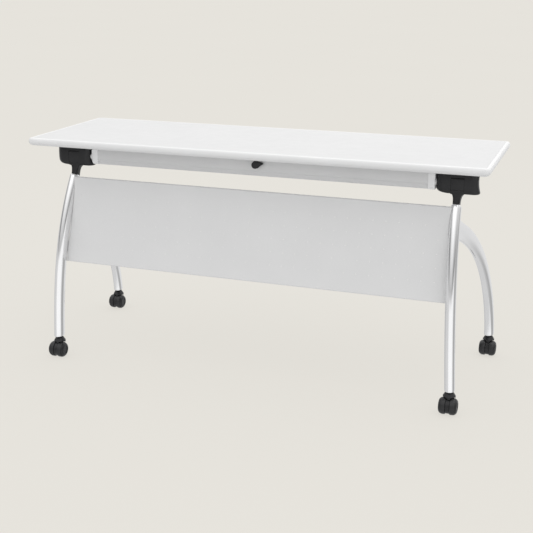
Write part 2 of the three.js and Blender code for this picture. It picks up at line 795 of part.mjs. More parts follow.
// Modesty panel: a folded sheet raked with the front legs, its ends following their lean
function makePanel() {
  const panelTop = new THREE.Vector2(pivotY - panelTopForward, pivotZ - panelTopDrop);
  const down = new THREE.Vector2(-panelRake, -panelDrop).normalize();
  const back = new THREE.Vector2(-down.y, down.x);
  const height = Math.hypot(panelRake, panelDrop);
  const onPanel = (along, behind) =>
    panelTop.clone().addScaledVector(down, along).addScaledVector(back, behind);
  const profile = new THREE.Shape([
    onPanel(0, 0),
    onPanel(height, 0),
    onPanel(height, panelFlange),
    onPanel(height - panelThickness, panelFlange),
    onPanel(height - panelThickness, panelThickness),
    onPanel(panelThickness, panelThickness),
    onPanel(panelThickness, panelFlange),
    onPanel(0, panelFlange),
  ]);
  const endX = (z) => frontLegX(z) - legWidth / 2 - panelSideGap;
  const above = panelTop.y + panelFlange;
  const below = panelTop.y - panelDrop - panelFlange;
  const ends = polygon([
    [-endX(above), above],
    [-endX(below), below],
    [endX(below), below],
    [endX(above), above],
  ]);
  const sheet = common(alongX(profile, -topLength / 2, topLength / 2), alongY(ends, -topDepth, topDepth));

  // Small round holes in rows, centred on the panel
  const through = new THREE.Vector3(0, back.x, back.y);
  const rows = Math.floor((height - 2 * panelRowMargin) / panelRowPitch);
  const columns = Math.floor((2 * endX(panelTop.y) - 2 * panelHoleMargin) / panelHolePitch);
  const holeDepth = panelThickness + 2 * overshoot;
  const holes = [];
  for (let row = 0; row <= rows; row += 1) {
    const at = onPanel(height / 2 + (row - rows / 2) * panelRowPitch, -overshoot);
    for (let column = 0; column <= columns; column += 1) {
      const x = (column - columns / 2) * panelHolePitch;
      holes.push(bar(through, panelHoleRadius, [x, at.x, at.y], holeDepth, panelHoleSides));
    }
  }
  addPiece(base, 'modesty_panel', cut(sheet, ...holes), panelPaint);

  const near = panelThickness + seatGap;
  const far = near + panelBracketThickness;
  const half = panelBracketHeight / 2;
  const places = { upper: panelBracketInset, lower: height - panelBracketInset };
  for (const [place, along] of Object.entries(places)) {
    const legX = frontLegX(onPanel(along, 0).y);
    const tab = new THREE.Shape([
      onPanel(along - half, near),
      onPanel(along + half, near),
      onPanel(along + half, far),
      onPanel(along - half, far),
    ]);
    const flat = alongX(tab, legX - legWidth / 2 - panelBracketReach, legX - panelBracketShort);
    addPair(base, `${place}_panel_bracket`, cut(flat, tube(frontLeg, seatGap)), zincSteel);
  }
}

// Foot socket: a plug inside the leg's end with a smaller boss under it, bored for the caster's stem
function footSocket(leg, footX, footY) {
  const reach = legDepth;
  const plugFoot = legEndZ - seatGap;
  const plugTop = legEndZ + footSocketLength;
  const block = box(footX - reach, footX + reach, footY - reach, footY + reach, plugFoot, plugTop);
  const plug = common(block, bore(leg, -seatGap));
  const bossFrame = { ...leg.frame, origin: new THREE.Vector3(footX, footY, 0), rise: Z_AXIS };
  const bossFoot = new THREE.Vector2(0, footSocketZ);
  const bossTop = new THREE.Vector2(0, plugFoot + overshoot);
  const bossWidth = legWidth - 2 * footBossInset;
  const bossDepth = legDepth - 2 * footBossInset;
  const bossLine = new THREE.LineCurve(bossFoot, bossTop);
  const boss = sweepOval(bossLine, bossFrame, [bossWidth, bossWidth], [bossDepth, bossDepth], 1);
  const stemBore = bar(Z_AXIS, holeRadius(stemRadius, runningGap), [footX, footY, footSocketZ - overshoot],
    footSocketLength + reach);
  return cut(join(plug, boss), stemBore);
}

// Caster hood: a flared cap cut clear of both wheels, and the web between them, about the stem's axis
function casterHood() {
  const axle = [-casterTrail, axleZ];
  const room = wheelRadius + hoodGap;
  const half = webThickness / 2 + wheelSideGap + wheelWidth;
  const capTop = axleZ + room + casterCapEdge;
  const capFoot = capTop - casterCapDepth;
  const cap = turned(Z_AXIS, [
    [0, axleZ],
    [casterNeckRadius, axleZ],
    [casterNeckRadius, capFoot],
    [casterCapRadius, capFoot],
    [casterCapRadius, capTop],
    [casterNeckRadius, casterNeckHeight],
    [0, casterNeckHeight],
  ]);
  const web = bar(X_AXIS, webRadius, [-half, ...axle], 2 * half, hoodSides);
  const rightRoom = bar(X_AXIS, room, [webThickness / 2, ...axle], 2 * half, hoodSides);
  const axleBore = bar(X_AXIS, holeRadius(axleRadius, seatGap), [-half, ...axle], 2 * half);
  const stemFoot = casterNeckHeight - stemSeat;
  const stemBore = bar(Z_AXIS, holeRadius(stemRadius, seatGap), [0, 0, stemFoot], stemLength);
  return cut(join(cap, web), rightRoom, mirrored(rightRoom), axleBore, stemBore);
}

// A caster wheel on the +X side of the web, with its flat facets level at the floor
function casterWheel() {
  const start = webThickness / 2 + wheelSideGap;
  const hole = holeRadius(axleRadius, runningGap, wheelSides);
  const dome = [];
  for (let step = 0; step < domeSteps; step += 1) {
    const angle = (step / domeSteps) * (Math.PI / 2);
    dome.push([
      hubRadius + (wheelRadius - hubRadius) * Math.cos(angle),
      wheelTread + (wheelWidth - wheelTread) * Math.sin(angle),
    ]);
  }
  const profile = [
    [hole, 0],
    [wheelRadius - wheelInnerRounding, 0],
    [wheelRadius, wheelInnerRounding],
    ...dome,
    [hubRadius, wheelWidth],
    [hubRadius, wheelWidth - hubRecess],
    [hole, wheelWidth - hubRecess],
    [hole, 0],
  ];
  const wheel = turned(X_AXIS, profile, wheelSides).rotateX(Math.PI / wheelSides);
  return toGeometry(toSolid(outward(mergeVertices(bare(wheel))))).translate(start, -casterTrail, axleZ);
}

function makeCaster(name, footX, footY) {
  const caster = new THREE.Group();
  caster.position.set(footX, footY, 0);
  table.add(caster);
  const half = webThickness / 2 + wheelSideGap + wheelWidth - hubRecess;
  const axle = bar(X_AXIS, axleRadius, [-half, -casterTrail, axleZ], 2 * half, wheelSides);
  const stemFoot = casterNeckHeight - stemSeat + seatGap;
  addPiece(caster, `${name}_caster_hood`, casterHood(), blackPlastic);
  addPiece(caster, `${name}_caster_stem`, bar(Z_AXIS, stemRadius, [0, 0, stemFoot], stemLength), zincSteel);
  addPiece(caster, `${name}_caster_axle`, axle, zincSteel);
  addPiece(caster, `${name}_right_wheel`, casterWheel(), wheelRubber);
  addPiece(caster, `${name}_left_wheel`, mirrored(casterWheel()), wheelRubber);
}

function makeFeet() {
  addPair(base, 'front_foot_socket', footSocket(frontLeg, frontFootX, frontFootY), blackPlastic);
  addPair(base, 'rear_foot_socket', footSocket(rearLeg, rearFootX, rearFootY), blackPlastic);
  makeCaster('front_right', frontFootX, frontFootY);
  makeCaster('front_left', -frontFootX, frontFootY);
  makeCaster('rear_right', rearFootX, rearFootY);
  makeCaster('rear_left', -rearFootX, rearFootY);
}

makeTop();
makeLegs();
makeLegHeads();
makeHinges();
makeCover('right_hinge_cover', 1);
makeCover('left_hinge_cover', -1);
makeBeam();
makeKnob();
makeLockRods();
makePanel();
makeFeet();

// The origin is on the floor, below the middle of the whole table
const bounds = new THREE.Box3().setFromObject(table, true);
table.position.y = -(bounds.min.y + bounds.max.y) / 2;

export default table;
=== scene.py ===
# Visual model of the flip top training table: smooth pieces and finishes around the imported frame.
# Metres, +Z up, +X along the table, -Y the side with the modesty panel.

import json
import math

import bmesh
import bpy
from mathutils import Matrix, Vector


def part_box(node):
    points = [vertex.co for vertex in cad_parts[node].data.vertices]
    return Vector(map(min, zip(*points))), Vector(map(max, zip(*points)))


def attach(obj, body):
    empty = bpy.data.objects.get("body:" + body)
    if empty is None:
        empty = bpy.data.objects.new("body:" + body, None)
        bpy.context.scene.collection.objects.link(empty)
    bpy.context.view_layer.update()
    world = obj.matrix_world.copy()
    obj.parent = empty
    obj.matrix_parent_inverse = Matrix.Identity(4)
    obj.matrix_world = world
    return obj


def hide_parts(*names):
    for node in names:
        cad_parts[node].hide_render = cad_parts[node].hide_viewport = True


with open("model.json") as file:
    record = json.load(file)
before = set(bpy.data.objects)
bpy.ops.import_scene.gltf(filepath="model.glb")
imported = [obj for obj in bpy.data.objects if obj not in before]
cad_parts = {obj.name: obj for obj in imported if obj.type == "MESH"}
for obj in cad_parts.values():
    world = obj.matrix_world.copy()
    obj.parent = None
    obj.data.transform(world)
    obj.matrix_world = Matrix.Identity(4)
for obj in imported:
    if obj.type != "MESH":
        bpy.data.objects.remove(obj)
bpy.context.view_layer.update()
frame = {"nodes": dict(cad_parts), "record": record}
joints = {joint["name"]: joint for joint in frame["record"]["behaviour"]["joints"]}

SIDES = {"right": 1, "left": -1}
CASTERS = ("front_right", "front_left", "rear_right", "rear_left")

# Facets of round pieces, and rounds of the searches by halving and fitting
BAR_SIDES = 72
POST_SIDES = 48
SMALL_SIDES = 40
HALVINGS = 40
FITTING_ROUNDS = 8

# Noise in the finishes: its usual span, its detail, and how much finer smudges are than the tone
NOISE_LOW = 0.3
NOISE_HIGH = 0.7
TONE_DETAIL = 4.0
GRAIN_DETAIL = 2.0
SMUDGE_DETAIL = 5.0
SMUDGE_FINENESS = 4

# Top
EDGE_BAND_WIDTH = 0.012
EDGE_RUN = 0.007
EDGE_RISE = 0.0115
UNDERCUT_RUN = 0.024
UNDERCUT_RISE = 0.0134
UNDERCUT_BAND_WIDTH = 0.026
SHARPEST_CORNER = 0.001
TOP_CORNER_RADIUS = 0.014
TOP_CORNER_STEPS = 14
EDGE_STEPS = 12
UNDERCUT_STEPS = 16
JOINT_BEVEL = 0.0004

# Leg tubes
LEG_WIDTH = 0.030
LEG_DEPTH = 0.042
LEG_WALL = 0.002
LEG_SOCKET = 0.060
LEG_SIDES = 48
LEG_STEP = 0.008
LEG_HEAD_ROUNDING = 0.007
LEG_FOOT_ROUNDING = 0.0015
REAR_ROOT_WIDTH = 0.026
REAR_ROOT_DEPTH = 0.054
REAR_FLARE_END = 0.075
REAR_FLARE_DEPTH = 0.013

# Front leg curve in (y, z), from the foot to the neck
LEG_TOP_FORWARD = 0.0193
LEG_TOP_DROP = 0.0595
FRONT_FOOT_PULL = Vector((0, 0.1705))
FRONT_TOP_PULL = Vector((0.102, 0.1703))

# Rear leg curve in (run, z), from the front leg to the rear foot
REAR_ROOT_DROP = 0.0625
REAR_ROOT_REACH = 0.355
REAR_ROOT_FALL = 0.109
REAR_FOOT_PULL = 0.047

# Leg head: a neck that flares into the block which fills the hinge cover's slot
NECK_WIDTH = 0.020
NECK_DEPTH = 0.028
NECK_ROOT = 0.008
NECK_FLARE_LENGTH = 0.0075
NECK_CORNER = 0.0072
BLOCK_WIDTH = 0.0372
BLOCK_INSET = 0.0003
BLOCK_SWEEP = 0.0282
BLOCK_TOP_ANGLE = math.radians(42)
BLOCK_LOW_ANGLE = math.radians(39)
BLOCK_FOOT_FRONT = 0.0229
BLOCK_FOOT_BACK = 0.0051
BLOCK_FOOT_DROP = 0.0283
BLOCK_ROUNDING = 0.0004
BLOCK_STEPS = 24
NECK_STEPS = 14
NECK_CORNER_STEPS = 6
BARREL_RADIUS = 0.021
BARREL_BORE = 0.0078
BARREL_STEPS = 16

# Hinge cover
COVER_END_RADIUS = 0.022
COVER_WALL = 0.003
COVER_BEVEL = 0.005
COVER_CORNER_RUN = 0.026
COVER_CORNER_RISE = 0.018
COVER_WAIST = 0.0065
COVER_BULGE_ABOVE = 0.009
COVER_BULGE_BELOW = 0.005
COVER_SLOT_HALF = 0.0188
COVER_SLOT_BEHIND = 0.0089
COVER_SLOT_RISE = 0.0186
COVER_BOSS_HOLE = 0.0133
COVER_BOSS_DEPTH = 0.016
COVER_GAP = 0.001
COVER_LEAST_FLAT = 0.0005
COVER_PLAN_STEPS = 12
COVER_CORNER_STEPS = 16
COVER_BEVEL_STEPS = 8
COVER_SIDE_STEPS = 14

# Cross beam and collars
BEAM_CORNER = 0.009
BEAM_WALL = 0.0025
BEAM_LEDGE_HEIGHT = 0.0155
BEAM_LEDGE_RISE = 0.0045
BEAM_LEDGE = 0.003
BEAM_BULGE = 0.0034
BEAM_BULGE_STEPS = 12
BEAM_CORNER_STEPS = 10
BEAM_KNOB_HOLE = 0.0084
COLLAR_LENGTH = 0.020
COLLAR_PROUD = 0.001
COLLAR_BOSS_RADIUS = 0.0125
COLLAR_ROUNDING = 0.002
COLLAR_DOMES = {"right": 0.0003, "left": 0.004}
COLLAR_DOME_STEPS = 6
COLLAR_CORNER_STEPS = 11

# Release knob
KNOB_RADIUS = 0.011
KNOB_ROUNDING = 0.002
KNOB_GAP = 0.00035
LEVER_REACH = 0.0205
LEVER_RISE = 0.005
LEVER_TIP = 0.0035
LEVER_SET_BACK = 0.0012
BEZEL_RADIUS = 0.012
BEZEL_ROUNDING = 0.0009
BEZEL_SIDES = 56
BUSH_RADIUS = 0.008
BUSH_BORE = 0.0055
SPINDLE_RADIUS = 0.005
SPINDLE_SIDES = 32

# Modesty panel: its top edge from the flip axis, its run down, and the screws of its brackets
PANEL_TOP = Vector((-0.044, -0.060))
PANEL_DOWN = Vector((-0.056, -0.266))
PANEL_THICKNESS = 0.0015
PANEL_FLANGE = 0.030
PANEL_BEND = 0.003
PANEL_BEND_STEPS = 6
PANEL_SIDE_GAP = 0.0008
PANEL_END_LAP = 0.0075
PANEL_FACE_STEPS = 16
PANEL_HOLE_PITCH = 0.038
PANEL_ROW_PITCH = 0.040
PANEL_HOLE_RADIUS = 0.0009
PANEL_HOLE_SIDES = 16
PANEL_HOLE_ROWS = 5
PANEL_HOLE_COLUMNS = 31
SCREW_INSET = 0.009
SCREW_SPREAD = 0.011
SCREW_STANDOFF = 0.0013
SCREW_RADIUS = 0.0042
SCREW_SHOULDER = (0.0036, 0.0016)
SCREW_RIM = 0.0006
SCREW_CROWN_RADIUS = 0.0024
SCREW_HEIGHT = 0.0022
SCREW_SOCKET_MOUTH = 0.0018
SCREW_SOCKET_FOOT = 0.0016
SCREW_SOCKET_FLOOR = 0.0010
SCREW_CENTRE = 0.0003
SCREW_SIDES = 24

# Foot sockets
BOSS_INSET = 0.005
SOCKET_PLUG_INSET = 0.001
SOCKET_PLUG_LENGTH = 0.012
SOCKET_BORE = 0.0055
SOCKET_BEVEL = 0.0006

# Casters
WHEEL_START = 0.0063
WHEEL_WIDTH = 0.0205
WHEEL_TREAD = 0.008
WHEEL_SPLIT = 4
WHEEL_DOME_STEPS = 12
WHEEL_INNER_ROUNDING = 0.002
WHEEL_GROOVE = 0.0004
WHEEL_SIDES = 72
HUB_RADIUS = 0.013
HUB_RECESS = 0.002
TYRE_BORE = 0.016
AXLE_BORE = 0.0044
STEM_BORE = 0.0054
STEM_SEAT = 0.015
WEB_THICKNESS = 0.011
WEB_RADIUS = 0.022
HOOD_ROOM = 0.0265
HOOD_NECK_RADIUS = 0.011
HOOD_CAP_RADIUS = 0.0185
HOOD_CAP_EDGE = 0.0015
HOOD_CAP_DEPTH = 0.007
HOOD_ROUNDING = 0.0008

# Stage: the floor with its cove, and the share of its own glow in its tone
FLOOR_RADIUS = 40.0
FLOOR_SIDES = 96
COVE_RADIUS = 20.0
COVE_STEPS = 24
BACKDROP_HEIGHT = 60.0
FLOOR_TONES = ((0.789, 0.766, 0.714), (0.793, 0.770, 0.718))
FLOOR_TONE_SCALE = 0.5
FLOOR_GLOW = 0.97
FLOOR_GLOW_SHARE = 0.87

# Surroundings as (bearing, grey level) stops; the bearing runs once round from -X through -Y and +X
LOW_SKY = (
    (0.0, 0.18), (0.1, 0.22), (0.16, 0.55), (0.36, 0.55), (0.42, 0.25), (0.5, 0.32), (0.62, 0.95),
    (0.85, 0.95), (1.0, 0.18),
)
SCREENS = (
    (0.0, 0.72), (0.167, 0.72), (0.217, 0.95), (0.25, 1.08), (0.458, 1.08), (0.514, 0.9), (0.536, 0.45),
    (0.63, 0.45), (0.67, 0.8), (0.78, 0.8), (0.85, 0.55), (0.95, 0.6), (1.0, 0.72),
)

# Overhead light and ground as (rise, grey level) stops, and the rises between which they blend in
OVERHEAD = ((0.0, 1.2), (1.0, 1.4))
GROUND = ((0.0, 0.70), (1.0, 0.72))
OVERHEAD_BLEND = (0.1, 0.7)
GROUND_BLEND = (-0.75, -0.45)
HORIZON_BLEND = (-0.02, 0.08)

# Softbox
LIGHT_WIDTH = 3.2
LIGHT_DEPTH = 1.8
LIGHT_POWER = 10.0
LIGHT_PLACE = Vector((0.5, 0.6, 2.8))
LIGHT_AIM = Vector((0.0, 0.0, 0.7))

# Camera
CAMERA_PLACE = Vector((1.0207, -2.8281, 1.2343))
CAMERA_AZIMUTH = math.radians(19.897)
CAMERA_ELEVATION = math.radians(17.239)
CAMERA_LENS = 66.297
CAMERA_SENSOR = 36.0
CAMERA_REACH = 500.0


# Mesh helpers
def add_object(name, mesh):
    piece = bpy.data.objects.new(name, mesh)
    bpy.context.scene.collection.objects.link(piece)
    return piece


def make_piece(name, points, faces):
    mesh = bpy.data.meshes.new(name)
    mesh.from_pydata([tuple(point) for point in points], [], faces)
    work = bmesh.new()
    work.from_mesh(mesh)
    bmesh.ops.remove_doubles(work, verts=work.verts, dist=1e-7)
    bmesh.ops.recalc_face_normals(work, faces=work.faces)
    work.to_mesh(mesh)
    work.free()
    return add_object(name, mesh)


# A skin over a row of rings with equal counts; the ends are capped, or joined to each other
def loft(name, rings, joined=False):
    count = len(rings[0])
    points = [point for ring in rings for point in ring]
    faces = []
    pairs = len(rings) if joined else len(rings) - 1
    for row in range(pairs):
        first = row * count
        second = ((row + 1) % len(rings)) * count
        for i in range(count):
            j = (i + 1) % count
            faces.append((first + i, first + j, second + j, second + i))
    if not joined:
        faces.append(tuple(range(count)))
        faces.append(tuple(range(len(points) - count, len(points))))
    return make_piece(name, points, faces)


# A convex skin round a set of points
def hull(name, points):
    mesh = bpy.data.meshes.new(name)
    work = bmesh.new()
    for point in points:
        work.verts.new(point)
    bmesh.ops.convex_hull(work, input=work.verts)
    loose = [vert for vert in work.verts if not vert.link_faces]
    bmesh.ops.delete(work, geom=loose, context="VERTS")
    bmesh.ops.recalc_face_normals(work, faces=work.faces)
    work.to_mesh(mesh)
    work.free()
    return add_object(name, mesh)


# A turned piece about an axis through a centre, from (radius, height) points that close on themselves
def turned(name, profile, centre, axis, sides):
    axis = Vector(axis)
    across = Vector((0, 0, 1)) if abs(axis.z) < 0.5 else Vector((0, 1, 0))
    other = axis.cross(across)
    rings = []
    for side in range(sides):
        angle = 2 * math.pi * side / sides
        out = across * math.cos(angle) + other * math.sin(angle)
        rings.append([Vector(centre) + axis * height + out * radius for radius, height in profile])
    return loft(name, rings, joined=True)


def box_piece(name, low, high):
    corners = [(x, y, z) for x in (low[0], high[0]) for y in (low[1], high[1]) for z in (low[2], high[2])]
    return hull(name, corners)


# Round cutting bars along X and along Z
def bar_x(name, radius, y, z, x0, x1):
    section = circle((y, z), radius, BAR_SIDES)
    return loft(name, [[Vector((x, u, v)) for u, v in section] for x in (x0, x1)])


def bar_z(name, radius, x, y, z0, z1):
    section = circle((x, y), radius, POST_SIDES)
    return loft(name, [[Vector((u, v, z)) for u, v in section] for z in (z0, z1)])


# Booleans on whole pieces; the tools are used up
def combine(piece, tools, operation):
    for tool in tools:
        modifier = piece.modifiers.new("combine", "BOOLEAN")
        modifier.operation = operation
        modifier.solver = "EXACT"
        modifier.object = tool
    bpy.context.view_layer.update()
    depsgraph = bpy.context.evaluated_depsgraph_get()
    mesh = bpy.data.meshes.new_from_object(piece.evaluated_get(depsgraph))
    piece.modifiers.clear()
    piece.data = mesh
    for tool in tools:
        bpy.data.objects.remove(tool)
    return piece


# Outline helpers
def arc(centre, radius, first, last, steps):
    points = []
    for step in range(steps + 1):
        angle = first + (last - first) * step / steps
        points.append((centre[0] + radius * math.cos(angle), centre[1] + radius * math.sin(angle)))
    return points


def rounded_rectangle(x0, x1, y0, y1, radius, steps):
    quarter = math.pi / 2
    points = []
    corners = ((x1, y1, -1, -1), (x0, y1, 1, -1), (x0, y0, 1, 1), (x1, y0, -1, 1))
    for number, (x, y, inward_x, inward_y) in enumerate(corners):
        centre = (x + inward_x * radius, y + inward_y * radius)
        points += arc(centre, radius, number * quarter, (number + 1) * quarter, steps)
    return points


def circle(centre, radius, count):
    return arc(centre, radius, 0.0, 2 * math.pi, count)[:-1]


# Rounding of an end: (how far along, how far drawn in) pairs from the end inwards
def end_rounding(radius, steps=5):
    pairs = []
    for step in range(steps + 1):
        angle = math.pi / 2 * step / steps
        pairs.append((radius * (1 - math.sin(angle)), radius * (1 - math.cos(angle))))
    return pairs[::-1]


# A cubic curve in a plane, measured along its length
class Track:
    SAMPLES = 600

    def __init__(self, corners):
        self.corners = [Vector(corner) for corner in corners]
        self.lengths = [0.0]
        last = self.point(0)
        for sample in range(1, self.SAMPLES + 1):
            here = self.point(sample / self.SAMPLES)
            self.lengths.append(self.lengths[-1] + (here - last).length)
            last = here
        self.length = self.lengths[-1]

    def point(self, share):
        a, b, c, d = self.corners
        rest = 1 - share
        return a * rest**3 + b * (3 * rest * rest * share) + c * (3 * rest * share * share) + d * share**3

    def direction(self, share):
        a, b, c, d = self.corners
        rest = 1 - share
        slope = (b - a) * (rest * rest) + (c - b) * (2 * rest * share) + (d - c) * (share * share)
        return slope.normalized()

    # Share of the curve's own measure at a length, by halving
    def share_at(self, length):
        low = 0
        high = self.SAMPLES
        while high - low > 1:
            middle = (low + high) // 2
            if self.lengths[middle] < length:
                low = middle
            else:
                high = middle
        span = self.lengths[high] - self.lengths[low]
        return (low + (length - self.lengths[low]) / span) / self.SAMPLES

    def share_at_height(self, height):
        low, high = 0.0, 1.0
        for _ in range(HALVINGS):
            middle = (low + high) / 2
            if self.point(middle).y < height:
                low = middle
            else:
                high = middle
        return low


# An oval leg along a track, open at the foot for its socket; place turns (run, rise, side) into a point
# and size_at gives half the width and depth
def oval_leg(name, track, place, size_at, head_rounding, foot_last):
    stations = [(along, LEG_WALL) for along in (LEG_SOCKET, LEG_SOCKET / 2, 0.0)]
    stations += end_rounding(LEG_FOOT_ROUNDING)
    start, end = LEG_FOOT_ROUNDING, track.length - head_rounding
    steps = math.ceil((end - start) / LEG_STEP)
    stations += [(start + (end - start) * step / steps, 0.0) for step in range(1, steps)]
    stations += [(track.length - along, drawn) for along, drawn in reversed(end_rounding(head_rounding))]
    rings = []
    for along, drawn in stations:
        on_track = track.length - along if foot_last else along
        share = track.share_at(on_track)
        centre = track.point(share)
        direction = track.direction(share)
        half_width, half_depth = size_at(on_track, share)
        ring = []
        for i in range(LEG_SIDES):
            angle = 2 * math.pi * i / LEG_SIDES
            off = (half_depth - drawn) * math.sin(angle)
            side = (half_width - drawn) * math.cos(angle)
            ring.append(place(centre.x - direction.y * off, centre.y + direction.x * off, side))
        rings.append(ring)
    return loft(name, rings)


# Materials
def link(tree, source, target):
    tree.links.new(source, target)


def noise(tree, coordinates, scale, detail=3.0, stretch=None):
    texture = tree.nodes.new("ShaderNodeTexNoise")
    texture.inputs["Scale"].default_value = scale
    texture.inputs["Detail"].default_value = detail
    if stretch is None:
        link(tree, coordinates, texture.inputs["Vector"])
    else:
        mapping = tree.nodes.new("ShaderNodeMapping")
        mapping.inputs["Scale"].default_value = stretch
        link(tree, coordinates, mapping.inputs["Vector"])
        link(tree, mapping.outputs["Vector"], texture.inputs["Vector"])
    return texture.outputs["Fac"]


# A colour ramp from (position, colour) stops
def colour_ramp(tree, factor, stops):
    ramp = tree.nodes.new("ShaderNodeValToRGB")
    elements = ramp.color_ramp.elements
    while len(elements) < len(stops):
        elements.new(1.0)
    for element, (position, colour) in zip(elements, stops):
        element.position = position
        element.color = (*colour, 1)
    link(tree, factor, ramp.inputs["Fac"])
    return ramp.outputs["Color"]


# A finish whose colour wanders between two tones, with smudges in its roughness and a fine grain
def finish(name, dark, light, roughness, metallic=0.0, tone_scale=6.0, grain_scale=900.0,
           grain_height=0.00002, stretch=None, specular=0.5):
    material = bpy.data.materials.new(name)
    material.use_nodes = True
    tree = material.node_tree
    shader = tree.nodes["Principled BSDF"]
    shader.inputs["Metallic"].default_value = metallic
    shader.inputs["Specular IOR Level"].default_value = specular
    coordinates = tree.nodes.new("ShaderNodeTexCoord").outputs["Object"]

    wander = noise(tree, coordinates, tone_scale, TONE_DETAIL)
    tone = colour_ramp(tree, wander, [(NOISE_LOW, dark), (NOISE_HIGH, light)])
    link(tree, tone, shader.inputs["Base Color"])

    grain = noise(tree, coordinates, grain_scale, GRAIN_DETAIL, stretch)
    spread = tree.nodes.new("ShaderNodeMapRange")
    spread.inputs["From Min"].default_value = NOISE_LOW
    spread.inputs["From Max"].default_value = NOISE_HIGH
    spread.inputs["To Min"].default_value = roughness[0]
    spread.inputs["To Max"].default_value = roughness[1]
    smudge = noise(tree, coordinates, tone_scale * SMUDGE_FINENESS, SMUDGE_DETAIL, stretch)
    link(tree, smudge, spread.inputs["Value"])
    link(tree, spread.outputs["Result"], shader.inputs["Roughness"])

    bump = tree.nodes.new("ShaderNodeBump")
    bump.inputs["Strength"].default_value = 1.0
    bump.inputs["Distance"].default_value = grain_height
    link(tree, grain, bump.inputs["Height"])
    link(tree, bump.outputs["Normal"], shader.inputs["Normal"])
    return material


def grey(value, blue=0.0):
    return (value, value, value + blue)


def greys(stops):
    return [(position, grey(level)) for position, level in stops]


materials = {
    "laminate": finish("laminate", grey(0.605), grey(0.62), (0.38, 0.5), tone_scale=9.0, grain_scale=700.0,
                       grain_height=0.00001),
    "edge_plastic": finish("edge_plastic", grey(0.74), grey(0.76), (0.34, 0.44), tone_scale=12.0,
                           grain_scale=1200.0, grain_height=0.000008),
    "black_plastic": finish("black_plastic", grey(0.005, 0.001), grey(0.009, 0.001), (0.32, 0.42),
                            tone_scale=30.0, grain_scale=1500.0, grain_height=0.00002, specular=0.42),
    "chrome": finish("chrome", grey(0.84, 0.005), grey(0.88, 0.005), (0.08, 0.16), metallic=1.0,
                     tone_scale=10.0, grain_scale=300.0, grain_height=0.000002),
    "beam_silver": finish("beam_silver", grey(0.68), grey(0.71), (0.38, 0.5), metallic=0.15, tone_scale=8.0,
                          grain_scale=500.0, grain_height=0.000006, stretch=(0.02, 1, 1)),
    "collar_casting": finish("collar_casting", grey(0.86), grey(0.90), (0.4, 0.52), tone_scale=25.0,
                             grain_scale=700.0, grain_height=0.00002),
    "panel_paint": finish("panel_paint", grey(0.70), grey(0.72), (0.42, 0.55), tone_scale=7.0,
                          grain_scale=1100.0, grain_height=0.000025),
    "zinc_steel": finish("zinc_steel", (0.52, 0.53, 0.55), (0.64, 0.64, 0.64), (0.28, 0.45), metallic=1.0,
                         tone_scale=40.0, grain_scale=600.0, grain_height=0.00001),
    "black_rubber": finish("black_rubber", grey(0.008, 0.001), grey(0.013, 0.001), (0.36, 0.5),
                           tone_scale=40.0, grain_scale=1000.0, grain_height=0.00004),
}


# Finishing of a piece: material, smooth shading with sharp folds, the nodes it stands for and its body
def dress(piece, body, slot, *replaced, sharp=32):
    mesh = piece.data
    mesh.materials.clear()
    mesh.materials.append(materials[slot])
    for polygon in mesh.polygons:
        polygon.use_smooth = True
    mesh.set_sharp_from_angle(angle=math.radians(sharp))
    if replaced:
        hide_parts(*replaced)
    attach(piece, body)


def dress_cad_nodes():
    for part in frame["record"]["subparts"]:
        node = frame["nodes"][part["node"]]
        node.data.materials.clear()
        node.data.materials.append(materials[part["material_slot"]])


# Places that follow from the frame
band_low, band_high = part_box("edge_band")
pivot = Vector(joints["top_flip"]["pos_m"])
beam_low, beam_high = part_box("cross_beam")
cover_low, cover_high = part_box("right_hinge_cover")
front_stem = Vector(joints["front_right_swivel"]["pos_m"])
rear_stem = Vector(joints["rear_right_swivel"]["pos_m"])
leg_foot_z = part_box("right_front_leg")[0].z
leg_top_x = (cover_low.x + cover_high.x) / 2
leg_top = Vector((pivot.y - LEG_TOP_FORWARD, pivot.z - LEG_TOP_DROP))
leg_foot = Vector((front_stem.y, leg_foot_z))
lean = (front_stem.x - leg_top_x) / (leg_top.y - leg_foot.y)
front_track = Track((leg_foot, leg_foot + FRONT_FOOT_PULL, leg_top - FRONT_TOP_PULL, leg_top))


def front_leg_x(z):
    return leg_top_x + (leg_top.y - z) * lean


rear_root_z = leg_top.y - REAR_ROOT_DROP
rear_root_y = front_track.point(front_track.share_at_height(rear_root_z)).x
rear_root = Vector((front_leg_x(rear_root_z), rear_root_y, 0))
rear_run = Vector((rear_stem.x, rear_stem.y, 0)) - rear_root
rear_reach = rear_run.length
rear_run.normalize()
rear_side = Vector((rear_run.y, -rear_run.x, 0))
rear_track = Track((
    (0, rear_root_z),
    (REAR_ROOT_REACH, rear_root_z - REAR_ROOT_FALL),
    (rear_reach, leg_foot_z + REAR_FOOT_PULL),
    (rear_reach, leg_foot_z),
))


